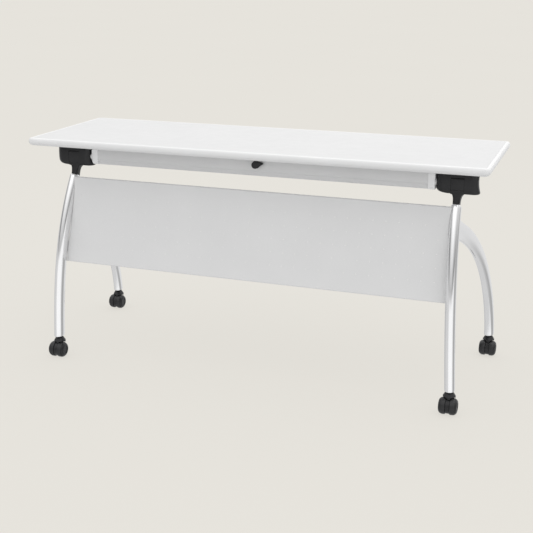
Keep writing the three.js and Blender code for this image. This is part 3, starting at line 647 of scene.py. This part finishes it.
def make_top():
    def outline(drawn, z):
        low, high = band_low, band_high
        corner = max(TOP_CORNER_RADIUS - drawn, SHARPEST_CORNER)
        points = rounded_rectangle(low.x + drawn, high.x - drawn, low.y + drawn, high.y - drawn, corner,
                                   TOP_CORNER_STEPS)
        return [Vector((x, y, z)) for x, y in points]

    low, high = band_low.z, band_high.z
    upper = EDGE_BAND_WIDTH
    lower = UNDERCUT_BAND_WIDTH
    profile = [(lower, low + JOINT_BEVEL), (lower - JOINT_BEVEL, low)]
    profile += [(UNDERCUT_RUN * (1 - out), low + UNDERCUT_RISE * (1 - down))
                for out, down in arc((0, 0), 1, math.pi / 2, 0, UNDERCUT_STEPS)]
    profile += [(EDGE_RUN * (1 - out), high - EDGE_RISE * (1 - up))
                for out, up in arc((0, 0), 1, 0, math.pi / 2, EDGE_STEPS)]
    profile += [(upper - JOINT_BEVEL, high), (upper, high - JOINT_BEVEL)]
    rings = [outline(drawn, z) for drawn, z in profile]
    dress(loft("soft_edge_band", rings, joined=True), "top", "edge_plastic", "edge_band")

    rings = [
        outline(lower + JOINT_BEVEL, low),
        outline(lower + JOINT_BEVEL / 8, low + JOINT_BEVEL),
        outline(upper + JOINT_BEVEL / 8, high - JOINT_BEVEL),
        outline(upper + JOINT_BEVEL, high),
    ]
    dress(loft("laminate_board", rings), "top", "laminate", "table_top")


def make_legs(name, side):
    def front_place(run, rise, across):
        return Vector((side * (front_leg_x(rise) + across), run, rise))

    def front_size(along, share):
        return LEG_WIDTH / 2, LEG_DEPTH / 2

    front = oval_leg(f"{name}_front_tube", front_track, front_place, front_size, LEG_HEAD_ROUNDING, False)
    dress(front, "base", "chrome", f"{name}_front_leg", sharp=50)

    def rear_place(run, rise, across):
        point = rear_root + rear_run * run + rear_side * across
        return Vector((side * point.x, point.y, rise))

    def rear_size(along, share):
        width = REAR_ROOT_WIDTH + (LEG_WIDTH - REAR_ROOT_WIDTH) * share
        depth = REAR_ROOT_DEPTH + (LEG_DEPTH - REAR_ROOT_DEPTH) * share
        flare = max(0.0, 1 - along / REAR_FLARE_END) ** 2
        return width / 2, depth / 2 + REAR_FLARE_DEPTH * flare

    rear = oval_leg(f"{name}_rear_tube", rear_track, rear_place, rear_size, LEG_FOOT_ROUNDING, True)
    dress(rear, "base", "chrome", f"{name}_rear_leg", sharp=50)


# How far the hinge cover's bulged front and back draw in at a height
def cover_bulge(z):
    if z > pivot.z:
        return COVER_BULGE_ABOVE * ((z - pivot.z) / (cover_high.z - pivot.z)) ** 2
    return COVER_BULGE_BELOW * ((pivot.z - z) / (pivot.z - cover_low.z)) ** 2


# Section of the leg head's block in (y, z): flush with the cover's front when the top is level, and
# within the circle that the cover's front wall sweeps as the top flips
def block_outline():
    centre = (pivot.y, pivot.z)
    points = []
    for step in range(BLOCK_STEPS + 1):
        angle = BLOCK_TOP_ANGLE - (BLOCK_TOP_ANGLE + BLOCK_LOW_ANGLE) * step / BLOCK_STEPS
        reach = BLOCK_SWEEP
        for _ in range(FITTING_ROUNDS):
            depth = pivot.y - cover_low.y - BLOCK_INSET - cover_bulge(pivot.z + reach * math.sin(angle))
            reach = min(BLOCK_SWEEP, depth / math.cos(angle))
        points.append((pivot.y - reach * math.cos(angle), pivot.z + reach * math.sin(angle)))
    foot = pivot.z - BLOCK_FOOT_DROP
    points += [(pivot.y - BLOCK_FOOT_FRONT, foot), (pivot.y + BLOCK_FOOT_BACK, foot)]
    points += arc(centre, BARREL_RADIUS, -math.pi / 4, math.pi / 2, BARREL_STEPS)
    return points


def make_leg_head(name, side):
    centre_x = side * leg_top_x
    half = BLOCK_WIDTH / 2
    rounding = end_rounding(BLOCK_ROUNDING, 4)
    ends = [(along - half, drawn) for along, drawn in rounding]
    ends += [(half - along, drawn) for along, drawn in reversed(rounding)]
    outline = block_outline()
    rings = []
    for x, drawn in ends:
        size = 1 - drawn / BLOCK_SWEEP
        rings.append([
            Vector((centre_x + x, pivot.y + (y - pivot.y) * size, pivot.z + (z - pivot.z) * size))
            for y, z in outline
        ])
    block = loft(f"{name}_neck", rings)

    axis = Vector((pivot.y, pivot.z)) - leg_top
    reach = axis.length * (LEG_TOP_DROP - BLOCK_FOOT_DROP) / LEG_TOP_DROP
    axis.normalize()
    across = Vector((axis.y, -axis.x))
    rings = []
    for step in range(NECK_STEPS + 2):
        along = -NECK_ROOT + (reach + NECK_ROOT) * step / NECK_STEPS
        flare = math.exp(-max(reach - along, 0.0) / NECK_FLARE_LENGTH)
        width = NECK_WIDTH + (BLOCK_WIDTH - NECK_WIDTH) * flare
        middle = leg_top + axis * along
        section = rounded_rectangle(-width / 2, width / 2, -NECK_DEPTH / 2, NECK_DEPTH / 2, NECK_CORNER,
                                    NECK_CORNER_STEPS)
        rings.append([
            Vector((centre_x + x, middle.x + across.x * d, middle.y + across.y * d)) for x, d in section
        ])
    combine(block, [loft(f"{name}_stalk", rings)], "UNION")
    bore = bar_x(f"{name}_bore", BARREL_BORE, pivot.y, pivot.z, centre_x - 2 * half, centre_x + 2 * half)
    combine(block, [bore], "DIFFERENCE")
    dress(block, "base", "black_plastic", f"{name}_leg_head")


def make_cover(name, side):
    node = f"{name}_hinge_cover"
    low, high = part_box(node)

    def ring(z, wall):
        left, right = low.x + wall, high.x - wall
        floor, ceiling = low.z + wall, high.z
        rise = max(z - floor, 0.0)
        drawn = 0.0
        if rise < COVER_BEVEL:
            drawn = COVER_BEVEL - math.sqrt(COVER_BEVEL**2 - (COVER_BEVEL - rise) ** 2)
        share = 1 - math.sqrt(min(rise / COVER_CORNER_RISE, 1.0))
        left += COVER_CORNER_RUN * share * share + drawn
        up = min(rise / (ceiling - floor), 1.0)
        right -= 4 * COVER_WAIST * up * (1 - up) + drawn
        drawn += cover_bulge(z)
        front, back = low.y + wall + drawn, high.y - wall - drawn
        radius = min(COVER_END_RADIUS - wall - drawn / 2, (back - front) / 2 - COVER_LEAST_FLAT)
        plan = rounded_rectangle(left, right, front, back, radius, COVER_PLAN_STEPS)
        return [Vector((x, y, z)) for x, y in plan]

    def heights(wall, top):
        floor = low.z + wall
        start = floor + COVER_CORNER_RISE
        values = []
        for step in range(COVER_CORNER_STEPS + 1):
            values.append(floor + COVER_CORNER_RISE * (step / COVER_CORNER_STEPS) ** 2)
        for step in range(1, COVER_BEVEL_STEPS + 1):
            values.append(floor + COVER_BEVEL * (1 - math.cos(math.pi / 2 * step / COVER_BEVEL_STEPS)))
        for step in range(1, COVER_SIDE_STEPS + 1):
            values.append(start + (top - start) * step / COVER_SIDE_STEPS)
        return sorted(set(round(value, 7) for value in values))

    shell = loft(f"{name}_cover_shell", [ring(z, 0.0) for z in heights(0.0, high.z)])
    room_heights = heights(COVER_WALL, high.z + COVER_WALL)
    room = loft(f"{name}_cover_room", [ring(z, COVER_WALL) for z in room_heights])
    centre = side * leg_top_x
    slot = box_piece(
        f"{name}_cover_slot",
        (centre - COVER_SLOT_HALF, low.y - COVER_WALL, low.z - COVER_WALL),
        (centre + COVER_SLOT_HALF, pivot.y + COVER_SLOT_BEHIND, pivot.z + COVER_SLOT_RISE),
    )
    inner_end = low.x if side > 0 else high.x
    boss_hole = bar_x(f"{name}_cover_hole", COVER_BOSS_HOLE, pivot.y, pivot.z, inner_end - COVER_BOSS_DEPTH,
                      inner_end + COVER_BOSS_DEPTH)
    combine(shell, [room, slot, boss_hole], "DIFFERENCE")
    dress(shell, "top", "black_plastic", node)


# Beam section in (y, z): a rounded rectangle whose bulged front face steps back under a sloped ledge
def beam_outline():
    front = beam_low.y
    middle = (beam_low.z + beam_high.z) / 2
    half_height = beam_high.z - middle
    ledge = beam_low.z + BEAM_LEDGE_HEIGHT

    def bulged(y, z):
        return max(y, front + BEAM_BULGE * ((z - middle) / half_height) ** 2), z

    points = rounded_rectangle(front, beam_high.y, beam_low.z, beam_high.z, BEAM_CORNER, BEAM_CORNER_STEPS)
    half = 2 * (BEAM_CORNER_STEPS + 1)
    upper = [bulged(y, z) for y, z in points[:half]]
    face_top = beam_high.z - BEAM_CORNER
    face_foot = ledge + BEAM_LEDGE_RISE / 2
    face = []
    for step in range(1, BEAM_BULGE_STEPS + 1):
        face.append(bulged(front, face_top + (face_foot - face_top) * step / BEAM_BULGE_STEPS))
    face.append((front + BEAM_LEDGE, ledge - BEAM_LEDGE_RISE / 2))
    lower = [bulged(max(y, front + BEAM_LEDGE), z) for y, z in points[half:]]
    return upper + face + lower


def make_beam():
    inner = rounded_rectangle(beam_low.y + BEAM_WALL + BEAM_BULGE, beam_high.y - BEAM_WALL,
                              beam_low.z + BEAM_WALL, beam_high.z - BEAM_WALL, BEAM_CORNER - BEAM_WALL,
                              BEAM_CORNER_STEPS)
    body = loft("beam_extrusion", [[Vector((x, y, z)) for y, z in beam_outline()]
                                   for x in (beam_low.x, beam_high.x)])
    reach = beam_high.x + BEAM_WALL
    room = loft("beam_room", [[Vector((x, y, z)) for y, z in inner] for x in (-reach, reach)])
    knob = Vector(joints["knob_turn"]["pos_m"])
    hole = loft("beam_knob_hole", [
        [Vector((knob.x + x, y, knob.z + z)) for x, z in circle((0, 0), BEAM_KNOB_HOLE, SMALL_SIDES)]
        for y in (beam_low.y - BEAM_WALL, beam_low.y + 2 * BEAM_WALL)
    ])
    combine(body, [room, hole], "DIFFERENCE")
    dress(body, "base", "beam_silver", "cross_beam", sharp=28)


def make_collar(name, side):
    low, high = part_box(f"{name}_beam_collar")
    ring_end = side * (cover_low.x - COVER_GAP)
    start = ring_end - side * COLLAR_LENGTH
    boss_end = high.x if side > 0 else low.x

    def section(x, drawn):
        points = rounded_rectangle(low.y + drawn, high.y - drawn, low.z + drawn, high.z - drawn,
                                   BEAM_CORNER + COLLAR_PROUD - drawn, COLLAR_CORNER_STEPS)
        return [Vector((x, y, z)) for y, z in points]

    def round_section(x, radius):
        points = circle((pivot.y, pivot.z), radius, 4 * (COLLAR_CORNER_STEPS + 1))
        return [Vector((x, y, z)) for y, z in points]

    rings = [section(start + side * along, drawn) for along, drawn in end_rounding(COLLAR_ROUNDING / 2, 4)]
    rings += [section(ring_end - side * along, drawn)
              for along, drawn in reversed(end_rounding(COLLAR_ROUNDING, 4))]
    for step in range(1, COLLAR_DOME_STEPS + 1):
        angle = math.pi / 2 * step / COLLAR_DOME_STEPS
        x = ring_end + side * COLLAR_DOMES[name] * math.sin(angle)
        share = 1 - math.cos(angle)
        outer = section(x, COLLAR_ROUNDING)
        inner = round_section(x, COLLAR_BOSS_RADIUS)
        rings.append([far.lerp(near, share) for far, near in zip(outer, inner)])
    rings.append(round_section(boss_end, COLLAR_BOSS_RADIUS))
    dress(loft(f"{name}_collar_casting", rings), "base", "collar_casting", f"{name}_beam_collar")


def make_knob():
    axis = Vector(joints["knob_turn"]["pos_m"])
    bezel_low, bezel_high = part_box("knob_bezel")
    front = bezel_low.y
    flange = beam_low.y - front - KNOB_GAP
    bush = bezel_high.y - front
    profile = [(BUSH_BORE, 0.0)]
    profile += [(BEZEL_RADIUS - drawn, along) for along, drawn in end_rounding(BEZEL_ROUNDING, 4)]
    profile += [(BEZEL_RADIUS, flange), (BUSH_RADIUS, flange), (BUSH_RADIUS, bush), (BUSH_BORE, bush)]
    bezel = turned("knob_collar", profile, (axis.x, front, axis.z), (0, 1, 0), BEZEL_SIDES)
    dress(bezel, "base", "black_plastic", "knob_bezel")

    knob_low, knob_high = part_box("release_knob")
    back = front - KNOB_GAP
    lever_face, lever_root = knob_low.y + LEVER_SET_BACK, back - KNOB_ROUNDING
    ends = (
        (axis.x, axis.z, KNOB_RADIUS, knob_low.y, back),
        (axis.x + LEVER_REACH, axis.z + LEVER_RISE, LEVER_TIP, lever_face, lever_root),
    )
    points = []
    for x, z, radius, face, root in ends:
        levels = [(root, KNOB_ROUNDING / 4), (root - KNOB_ROUNDING / 4, 0.0)]
        levels += [(face + along, drawn) for along, drawn in reversed(end_rounding(KNOB_ROUNDING))]
        for y, drawn in levels:
            points += [(u, y, v) for u, v in circle((x, z), radius - drawn, SMALL_SIDES)]
    knob = hull("lever_knob", points)
    spindle = loft("knob_spindle", [
        [Vector((x, y, z)) for x, z in circle((axis.x, axis.z), SPINDLE_RADIUS, SPINDLE_SIDES)]
        for y in (back - KNOB_ROUNDING, knob_high.y)
    ])
    combine(knob, [spindle], "UNION")
    dress(knob, "knob", "black_plastic", "release_knob", sharp=40)


# Section of the modesty panel as (along, behind) pairs: a sheet folded back at its top and bottom edges
def panel_profile(height):
    near = PANEL_BEND / 3
    inner_bend = PANEL_BEND - PANEL_THICKNESS
    quarter = math.pi / 2
    upper = (PANEL_BEND, PANEL_BEND)
    lower = (height - PANEL_BEND, PANEL_BEND)
    profile = [(0.0, PANEL_FLANGE), (0.0, PANEL_BEND + near)]
    profile += arc(upper, PANEL_BEND, 2 * quarter, 3 * quarter, PANEL_BEND_STEPS)
    face = []
    for step in range(PANEL_FACE_STEPS + 1):
        face.append(PANEL_BEND + near + (height - 2 * (PANEL_BEND + near)) * step / PANEL_FACE_STEPS)
    profile += [(along, 0.0) for along in face]
    profile += arc(lower, PANEL_BEND, 3 * quarter, 4 * quarter, PANEL_BEND_STEPS)
    profile += [(height, PANEL_BEND + near), (height, PANEL_FLANGE)]
    profile += [(height - PANEL_THICKNESS, PANEL_FLANGE), (height - PANEL_THICKNESS, PANEL_BEND + near)]
    profile += arc(lower, inner_bend, 4 * quarter, 3 * quarter, PANEL_BEND_STEPS)
    profile += [(along, PANEL_THICKNESS) for along in reversed(face)]
    profile += arc(upper, inner_bend, 3 * quarter, 2 * quarter, PANEL_BEND_STEPS)
    profile += [(PANEL_THICKNESS, PANEL_BEND + near), (PANEL_THICKNESS, PANEL_FLANGE)]
    return profile


# Where the panel ends beside the front leg: its outline point keeps a small gap to the leg's oval
def panel_end_x(point):
    share = front_track.share_at_height(point.y)
    off = (point.x - front_track.point(share).x) * front_track.direction(share).y
    flat = min(abs(off) / (LEG_DEPTH / 2 + PANEL_SIDE_GAP), 1.0)
    half_width = max(LEG_WIDTH / 2 * math.sqrt(1 - flat * flat), LEG_WIDTH / 2 - PANEL_END_LAP)
    return front_leg_x(point.y) - half_width - PANEL_SIDE_GAP


# Modesty panel: a folded sheet with rounded bends and rows of small holes
def make_panel():
    top = Vector((pivot.y, pivot.z)) + PANEL_TOP
    height = PANEL_DOWN.length
    down = PANEL_DOWN.normalized()
    back = Vector((-down.y, down.x))

    def on_panel(along, behind):
        return top + down * along + back * behind

    outline = [on_panel(*pair) for pair in panel_profile(height)]
    rings = []
    for side in (-1, 1):
        rings.append([Vector((side * panel_end_x(point), point.x, point.y)) for point in outline])
    panel = loft("folded_panel", rings)

    points = []
    faces = []
    sides = PANEL_HOLE_SIDES
    for row in range(PANEL_HOLE_ROWS):
        along = height / 2 + (row - (PANEL_HOLE_ROWS - 1) / 2) * PANEL_ROW_PITCH
        for column in range(PANEL_HOLE_COLUMNS):
            x = (column - (PANEL_HOLE_COLUMNS - 1) / 2) * PANEL_HOLE_PITCH
            first = len(points)
            for behind in (-PANEL_THICKNESS, 2 * PANEL_THICKNESS):
                for u, v in circle((x, along), PANEL_HOLE_RADIUS, sides):
                    point = on_panel(v, behind)
                    points.append((u, point.x, point.y))
            for i in range(sides):
                j = (i + 1) % sides
                faces.append((first + i, first + j, first + sides + j, first + sides + i))
            faces.append(tuple(range(first, first + sides)))
            faces.append(tuple(range(first + sides, first + 2 * sides)))
    combine(panel, [make_piece("panel_holes", points, faces)], "DIFFERENCE")
    dress(panel, "base", "panel_paint", "modesty_panel")


# Panel screws: button heads on the back of each panel bracket
def make_panel_screws():
    profile = [
        (SCREW_CENTRE, 0.0),
        (SCREW_RADIUS, 0.0),
        (SCREW_RADIUS, SCREW_RIM),
        SCREW_SHOULDER,
        (SCREW_CROWN_RADIUS, SCREW_HEIGHT),
        (SCREW_SOCKET_MOUTH, SCREW_HEIGHT),
        (SCREW_SOCKET_FOOT, SCREW_SOCKET_FLOOR),
        (SCREW_CENTRE, SCREW_SOCKET_FLOOR),
    ]
    down = Vector((0, *PANEL_DOWN)).normalized()
    back = Vector((0, -down.z, down.y))
    for name, side in SIDES.items():
        for place in ("upper", "lower"):
            low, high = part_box(f"{name}_{place}_panel_bracket")
            middle = (low + high) / 2
            inner = low.x + SCREW_INSET if side > 0 else high.x - SCREW_INSET
            centre = Vector((inner, middle.y, middle.z)) + back * SCREW_STANDOFF
            for number, offset in enumerate((-SCREW_SPREAD, SCREW_SPREAD)):
                screw_name = f"{name}_{place}_panel_screw_{number + 1}"
                screw = turned(screw_name, profile, centre + down * offset, back, SCREW_SIDES)
                dress(screw, "base", "zinc_steel")


# Foot socket: a bored plug in the leg's open end with a smaller boss under it
def make_foot_socket(name, node, stem, run):
    across = Vector((run.y, -run.x))
    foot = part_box(node)[0].z
    plug_foot = leg_foot_z + SOCKET_BEVEL
    plug_top = leg_foot_z + SOCKET_PLUG_LENGTH
    boss = (LEG_WIDTH / 2 - BOSS_INSET, LEG_DEPTH / 2 - BOSS_INSET)
    plug_inset = LEG_WALL + SOCKET_PLUG_INSET
    plug = (LEG_WIDTH / 2 - plug_inset, LEG_DEPTH / 2 - plug_inset)
    bore = (SOCKET_BORE, SOCKET_BORE)
    drawn_boss = (boss[0] - SOCKET_BEVEL, boss[1] - SOCKET_BEVEL)
    levels = [
        (plug_top, bore),
        (foot, bore),
        (foot, drawn_boss),
        (foot + SOCKET_BEVEL, boss),
        (plug_foot, boss),
        (plug_foot, plug),
        (plug_top, plug),
    ]
    rings = []
    for z, (half_width, half_depth) in levels:
        ring = []
        for i in range(LEG_SIDES):
            angle = 2 * math.pi * i / LEG_SIDES
            flat = run * (half_depth * math.sin(angle)) + across * (half_width * math.cos(angle))
            ring.append(Vector((stem.x + flat.x, stem.y + flat.y, z)))
        rings.append(ring)
    dress(loft(name, rings, joined=True), "base", "black_plastic", node)


def make_caster_hood(name, stem, axle):
    neck_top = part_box(f"{name}_caster_hood")[1].z
    cap_top = axle.z + HOOD_ROOM + HOOD_CAP_EDGE
    cap_foot = cap_top - HOOD_CAP_DEPTH
    soft = HOOD_ROUNDING
    profile = [
        (HOOD_NECK_RADIUS, axle.z),
        (HOOD_NECK_RADIUS, cap_foot),
        (HOOD_CAP_RADIUS - soft, cap_foot),
        (HOOD_CAP_RADIUS, cap_foot + soft),
        (HOOD_CAP_RADIUS, cap_top - soft),
        (HOOD_CAP_RADIUS - soft / 4, cap_top - soft / 4),
        (HOOD_CAP_RADIUS - soft, cap_top + soft / 2),
        (HOOD_NECK_RADIUS + soft, neck_top - 2 * soft),
        (HOOD_NECK_RADIUS, neck_top - soft),
        (HOOD_NECK_RADIUS - soft, neck_top),
    ]
    hood = loft(f"{name}_hood", [
        [Vector((x, y, z)) for x, y in circle((stem.x, stem.y), radius, POST_SIDES)] for radius, z in profile
    ])
    half = WEB_THICKNESS / 2
    reach = WHEEL_START + WHEEL_WIDTH
    web = bar_x(f"{name}_web", WEB_RADIUS, axle.y, axle.z, axle.x - reach, axle.x + reach)
    combine(hood, [web], "UNION")
    combine(hood, [
        bar_x(f"{name}_right_room", HOOD_ROOM, axle.y, axle.z, axle.x + half, axle.x + 2 * reach),
        bar_x(f"{name}_left_room", HOOD_ROOM, axle.y, axle.z, axle.x - 2 * reach, axle.x - half),
        bar_x(f"{name}_axle_bore", AXLE_BORE, axle.y, axle.z, axle.x - reach, axle.x + reach),
        bar_z(f"{name}_stem_bore", STEM_BORE, stem.x, stem.y, neck_top - STEM_SEAT, neck_top + STEM_SEAT),
    ], "DIFFERENCE")
    dress(hood, f"{name}_caster", "black_plastic", f"{name}_caster_hood")


# Wheel halves as (radius, distance from the web's side): a tyre, and the domed cap in it with a hub recess
def wheel_profiles(radius):
    width = WHEEL_WIDTH
    dome = []
    for step in range(WHEEL_DOME_STEPS + 1):
        angle = math.pi / 2 * step / WHEEL_DOME_STEPS
        dome.append((HUB_RADIUS + (radius - HUB_RADIUS) * math.cos(angle),
                     WHEEL_TREAD + (width - WHEEL_TREAD) * math.sin(angle)))
    seam_radius, seam = dome[WHEEL_SPLIT]
    groove = WHEEL_GROOVE
    tyre = [(TYRE_BORE, groove)]
    tyre += [(radius - drawn, along) for along, drawn in end_rounding(WHEEL_INNER_ROUNDING, 4)]
    tyre += dome[:WHEEL_SPLIT + 1]
    tyre += [(seam_radius - groove, seam - groove), (TYRE_BORE, seam - groove)]
    cap = [(AXLE_BORE, 0.0), (TYRE_BORE - groove / 2, groove), (TYRE_BORE - groove / 2, seam - groove / 2)]
    cap += [(seam_radius - 2 * groove, seam - groove / 4)]
    cap += dome[WHEEL_SPLIT + 1:]
    axle_end = width - HUB_RECESS + groove / 2
    hub_face = axle_end + groove
    cap += [(HUB_RADIUS - groove, width - groove / 2), (HUB_RADIUS - 2 * groove, hub_face)]
    cap += [(groove / 2, hub_face), (groove / 2, axle_end), (AXLE_BORE, axle_end)]
    return tyre, cap


def make_caster(name):
    stem = Vector(joints[f"{name}_swivel"]["pos_m"])
    axle = Vector(joints[f"{name}_outer_roll"]["pos_m"])
    make_caster_hood(name, stem, axle)
    tyre, cap = wheel_profiles(axle.z)
    inner_side, outer_side = ("left", "right") if stem.x > 0 else ("right", "left")
    for role, word in (("inner", inner_side), ("outer", outer_side)):
        direction = 1 if word == "right" else -1
        body = f"{name}_{role}_wheel"
        start = Vector((axle.x + direction * WHEEL_START, axle.y, axle.z))
        piece = turned(f"{name}_{word}_tyre", tyre, start, (direction, 0, 0), WHEEL_SIDES)
        dress(piece, body, "black_rubber", f"{name}_{word}_wheel", sharp=40)
        piece = turned(f"{name}_{word}_hub", cap, start, (direction, 0, 0), WHEEL_SIDES)
        dress(piece, body, "black_plastic", sharp=40)


# Stage: a pale floor that curves up into a backdrop and glows, so that shadows on it stay faint
def make_floor():
    levels = arc((FLOOR_RADIUS, COVE_RADIUS), COVE_RADIUS, -math.pi / 2, 0, COVE_STEPS)
    levels.append((FLOOR_RADIUS + COVE_RADIUS, BACKDROP_HEIGHT))
    points = [(x, y, rise) for reach, rise in levels for x, y in circle((0, 0), reach, FLOOR_SIDES)]
    faces = [tuple(range(FLOOR_SIDES))]
    for row in range(len(levels) - 1):
        first = row * FLOOR_SIDES
        for i in range(FLOOR_SIDES):
            j = (i + 1) % FLOOR_SIDES
            faces.append((first + j, first + i, first + FLOOR_SIDES + i, first + FLOOR_SIDES + j))
    mesh = bpy.data.meshes.new("floor")
    mesh.from_pydata(points, [], faces)
    for polygon in mesh.polygons:
        polygon.use_smooth = True
    floor = add_object("floor", mesh)
    material = bpy.data.materials.new("floor")
    material.use_nodes = True
    tree = material.node_tree
    tree.nodes.remove(tree.nodes["Principled BSDF"])
    coordinates = tree.nodes.new("ShaderNodeTexCoord").outputs["Object"]
    dark, light = FLOOR_TONES
    wander = noise(tree, coordinates, FLOOR_TONE_SCALE)
    tone = colour_ramp(tree, wander, [(NOISE_LOW, dark), (NOISE_HIGH, light)])
    matte = tree.nodes.new("ShaderNodeBsdfDiffuse")
    link(tree, tone, matte.inputs["Color"])
    glow = tree.nodes.new("ShaderNodeEmission")
    glow.inputs["Strength"].default_value = FLOOR_GLOW
    link(tree, tone, glow.inputs["Color"])
    blend = tree.nodes.new("ShaderNodeMixShader")
    blend.inputs["Fac"].default_value = FLOOR_GLOW_SHARE
    link(tree, matte.outputs["BSDF"], blend.inputs[1])
    link(tree, glow.outputs["Emission"], blend.inputs[2])
    link(tree, blend.outputs["Shader"], tree.nodes["Material Output"].inputs["Surface"])
    floor.data.materials.append(material)
    floor.visible_glossy = False
    floor.visible_diffuse = False
    floor.visible_shadow = False


# Soft surroundings: brighter upwards, and below the horizon light and dark screens round the table
def make_world():
    world = bpy.data.worlds.new("studio")
    world.use_nodes = True
    tree = world.node_tree
    direction = tree.nodes.new("ShaderNodeTexCoord").outputs["Generated"]
    parts = tree.nodes.new("ShaderNodeSeparateXYZ")
    link(tree, direction, parts.inputs["Vector"])
    height = parts.outputs["Z"]
    bearing = tree.nodes.new("ShaderNodeTexGradient")
    bearing.gradient_type = "RADIAL"
    link(tree, direction, bearing.inputs["Vector"])
    low_sky = colour_ramp(tree, bearing.outputs["Fac"], greys(LOW_SKY))
    screens = colour_ramp(tree, bearing.outputs["Fac"], greys(SCREENS))

    def share_of_height(low, high):
        spread = tree.nodes.new("ShaderNodeMapRange")
        spread.inputs["From Min"].default_value = low
        spread.inputs["From Max"].default_value = high
        link(tree, height, spread.inputs["Value"])
        return spread.outputs["Result"]

    def blend(factor, first, second):
        mix = tree.nodes.new("ShaderNodeMix")
        mix.data_type = "RGBA"
        link(tree, factor, mix.inputs["Factor"])
        link(tree, first, mix.inputs[6])
        link(tree, second, mix.inputs[7])
        return mix.outputs[2]

    overhead = colour_ramp(tree, height, greys(OVERHEAD))
    sky = blend(share_of_height(*OVERHEAD_BLEND), low_sky, overhead)
    ground = colour_ramp(tree, height, greys(GROUND))
    below = blend(share_of_height(*GROUND_BLEND), ground, screens)
    around = blend(share_of_height(*HORIZON_BLEND), below, sky)
    link(tree, around, tree.nodes["Background"].inputs["Color"])
    bpy.context.scene.world = world


def make_light():
    data = bpy.data.lights.new("softbox", "AREA")
    data.shape = "RECTANGLE"
    data.size = LIGHT_WIDTH
    data.size_y = LIGHT_DEPTH
    data.energy = LIGHT_POWER
    light = bpy.data.objects.new("softbox", data)
    light.location = LIGHT_PLACE
    light.rotation_euler = (LIGHT_AIM - LIGHT_PLACE).to_track_quat("-Z", "Y").to_euler()
    bpy.context.scene.collection.objects.link(light)


def make_camera():
    data = bpy.data.cameras.new("camera")
    data.lens = CAMERA_LENS
    data.sensor_width = CAMERA_SENSOR
    data.clip_end = CAMERA_REACH
    camera = bpy.data.objects.new("camera", data)
    camera.location = CAMERA_PLACE
    camera.rotation_euler = (math.pi / 2 - CAMERA_ELEVATION, 0, CAMERA_AZIMUTH)
    bpy.context.scene.collection.objects.link(camera)
    bpy.context.scene.camera = camera


make_camera()
make_light()
make_world()
make_floor()
dress_cad_nodes()
make_top()
make_beam()
make_knob()
make_panel()
make_panel_screws()
for side_name, side_sign in SIDES.items():
    make_legs(side_name, side_sign)
    make_leg_head(side_name, side_sign)
    make_cover(side_name, side_sign)
    make_collar(side_name, side_sign)
    make_foot_socket(f"{side_name}_front_foot_cap", f"{side_name}_front_foot_socket",
                     Vector((side_sign * front_stem.x, front_stem.y)), Vector((0, 1)))
    make_foot_socket(f"{side_name}_rear_foot_cap", f"{side_name}_rear_foot_socket",
                     Vector((side_sign * rear_stem.x, rear_stem.y)),
                     Vector((side_sign * rear_run.x, rear_run.y)))
for caster_name in CASTERS:
    make_caster(caster_name)

bpy.context.scene.view_settings.view_transform = "Standard"
